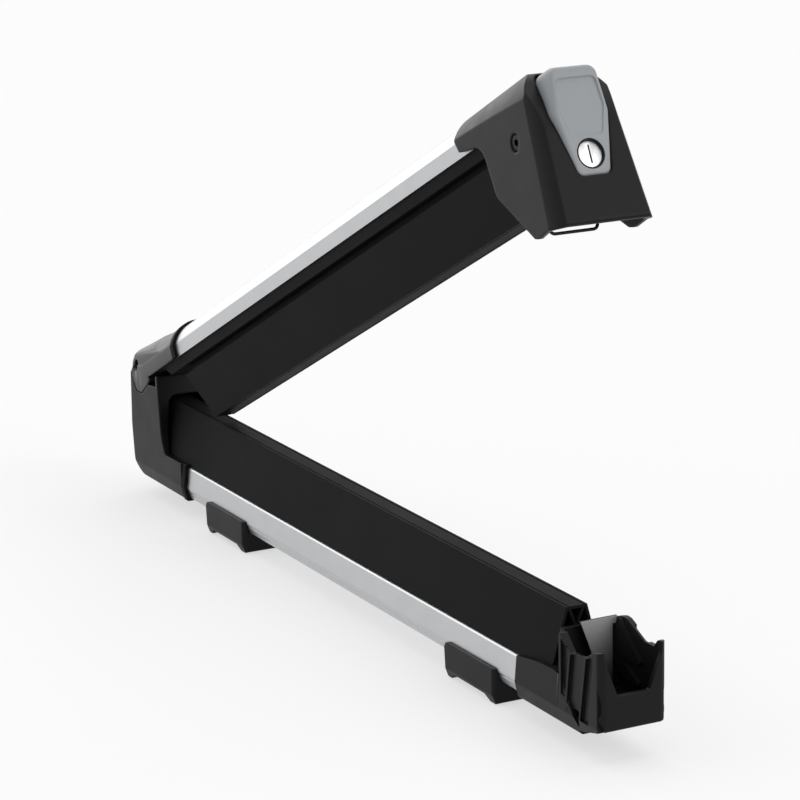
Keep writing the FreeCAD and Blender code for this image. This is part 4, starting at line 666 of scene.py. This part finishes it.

# painted shade: a black sleeve lining the bore, so that the ring round the lock reads dark like the shade in
# the bore
SLEEVE_OUTER, SLEEVE_INNER, SLEEVE_RIM, SLEEVE_BACK = 7.55, 7.2, 8.05, -4.0
SLEEVE_PROFILE = (           # ahead of the button's face, radius
    (SLEEVE_BACK, SLEEVE_INNER), (-0.1, SLEEVE_INNER), (0.25, SLEEVE_INNER + 0.25),
    (0.3, SLEEVE_INNER + 0.5), (0.1, SLEEVE_RIM), (-0.6, SLEEVE_RIM), (-0.6, SLEEVE_OUTER),
    (SLEEVE_BACK, SLEEVE_OUTER))
SLEEVE_STEPS = 64
sleeve_points = []
sleeve_faces = []
for i in range(SLEEVE_STEPS):
    turn = math.tau * i / SLEEVE_STEPS
    for shift, radius in SLEEVE_PROFILE:
        sleeve_points.append(on_button(shift, (radius * math.cos(turn), radius * math.sin(turn))))
    for j in range(len(SLEEVE_PROFILE)):
        here, after = i * len(SLEEVE_PROFILE), ((i + 1) % SLEEVE_STEPS) * len(SLEEVE_PROFILE)
        beside = (j + 1) % len(SLEEVE_PROFILE)
        sleeve_faces.append((here + j, here + beside, after + beside, after + j))
bore_shade_sleeve_mesh = bpy.data.meshes.new("sleeve")
bore_shade_sleeve_mesh.from_pydata([tuple(point) for point in sleeve_points], [], sleeve_faces)
face_outwards(bore_shade_sleeve_mesh)
shade_smooth(bore_shade_sleeve_mesh, 35)
new_piece("lock_sleeve", bore_shade_sleeve_mesh, thin_nylon, "button")


# The wire bail: black coated spring steel wire, bent in a U whose ends turn into the lever's
# eye. It catches behind the strike plate's edge when the arms are closed.
WIRE_RADIUS, BEND_RADIUS = 0.0009, 0.0031          # metres
BAIL_CORNERS = ((572.8, -9.1, -45.3), (572.8, -14.5, -45.3), (568.6, -14.5, -74.9),
                (568.6, 14.5, -74.9), (572.8, 14.5, -45.3), (572.8, 9.1, -45.3))
wire_tree = bpy.data.node_groups.new("bent_wire", "GeometryNodeTree")
wire_tree.interface.new_socket("Geometry", in_out="INPUT", socket_type="NodeSocketGeometry")
wire_socket = wire_tree.interface.new_socket("Wire radius", in_out="INPUT", socket_type="NodeSocketFloat")
bend_socket = wire_tree.interface.new_socket("Bend radius", in_out="INPUT", socket_type="NodeSocketFloat")
steel_socket = wire_tree.interface.new_socket("Steel", in_out="INPUT", socket_type="NodeSocketMaterial")
wire_tree.interface.new_socket("Geometry", in_out="OUTPUT", socket_type="NodeSocketGeometry")
given = add_node(wire_tree, "NodeGroupInput")
line = add_node(wire_tree, "GeometryNodeMeshToCurve", {"Mesh": given.outputs["Geometry"]})
bent = add_node(wire_tree, "GeometryNodeFilletCurve", {
    "Curve": line.outputs[0], "Count": 8, "Radius": given.outputs["Bend radius"]}, mode="POLY")
section = add_node(wire_tree, "GeometryNodeCurvePrimitiveCircle", {
    "Resolution": 20, "Radius": given.outputs["Wire radius"]})
tube = add_node(wire_tree, "GeometryNodeCurveToMesh", {
    "Curve": bent.outputs[0], "Profile Curve": section.outputs[0], "Fill Caps": True})
smooth = add_node(wire_tree, "GeometryNodeSetShadeSmooth", {"Geometry": tube.outputs[0]})
whole = add_node(wire_tree, "GeometryNodeRealizeInstances", {"Geometry": smooth.outputs[0]})
coated = add_node(wire_tree, "GeometryNodeSetMaterial", {
    "Geometry": whole.outputs[0], "Material": given.outputs["Steel"]})
add_node(wire_tree, "NodeGroupOutput", {"Geometry": coated.outputs[0]})

wire_line = bpy.data.meshes.new("wire_line")
wire_line.from_pydata([tuple(arm_place(*corner)) for corner in BAIL_CORNERS],
                      [(i, i + 1) for i in range(len(BAIL_CORNERS) - 1)], [])
wire_maker = bpy.data.objects.new("wire_maker", wire_line)
scene.collection.objects.link(wire_maker)
bending = wire_maker.modifiers.new("bending", "NODES")
bending.node_group = wire_tree
bending[wire_socket.identifier] = WIRE_RADIUS
bending[bend_socket.identifier] = BEND_RADIUS
bending[steel_socket.identifier] = black_steel
wire_mesh = bpy.data.meshes.new_from_object(wire_maker.evaluated_get(bpy.context.evaluated_depsgraph_get()))
bpy.data.objects.remove(wire_maker)
bail = new_piece("bent_wire_bail", wire_mesh, black_steel, "bail")
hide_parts("wire_bail")


# The pins, the screws and the feet's bolts and nuts: steel, the pins blackened and the
# others zinc plated. The lock's cam is a zinc plated steel pressing.
# zinc plating: a cool light grey, smoother than the anodised rails
zinc_plated = plated_metal("zinc_plated_steel", "#A8AAAC", 0.28, 0.42)
dress(zinc_plated, "lock_cam", "hinge_end_bolt", "hinge_end_nut", "catch_end_bolt", "catch_end_nut",
      "tower_screws", "catch_screws")
dress(black_steel, "hinge_pin", "latch_pin")


# The feet: black nylon blocks under the lower rail, one near each end.
dress(thin_nylon, "hinge_end_foot", "catch_end_foot")
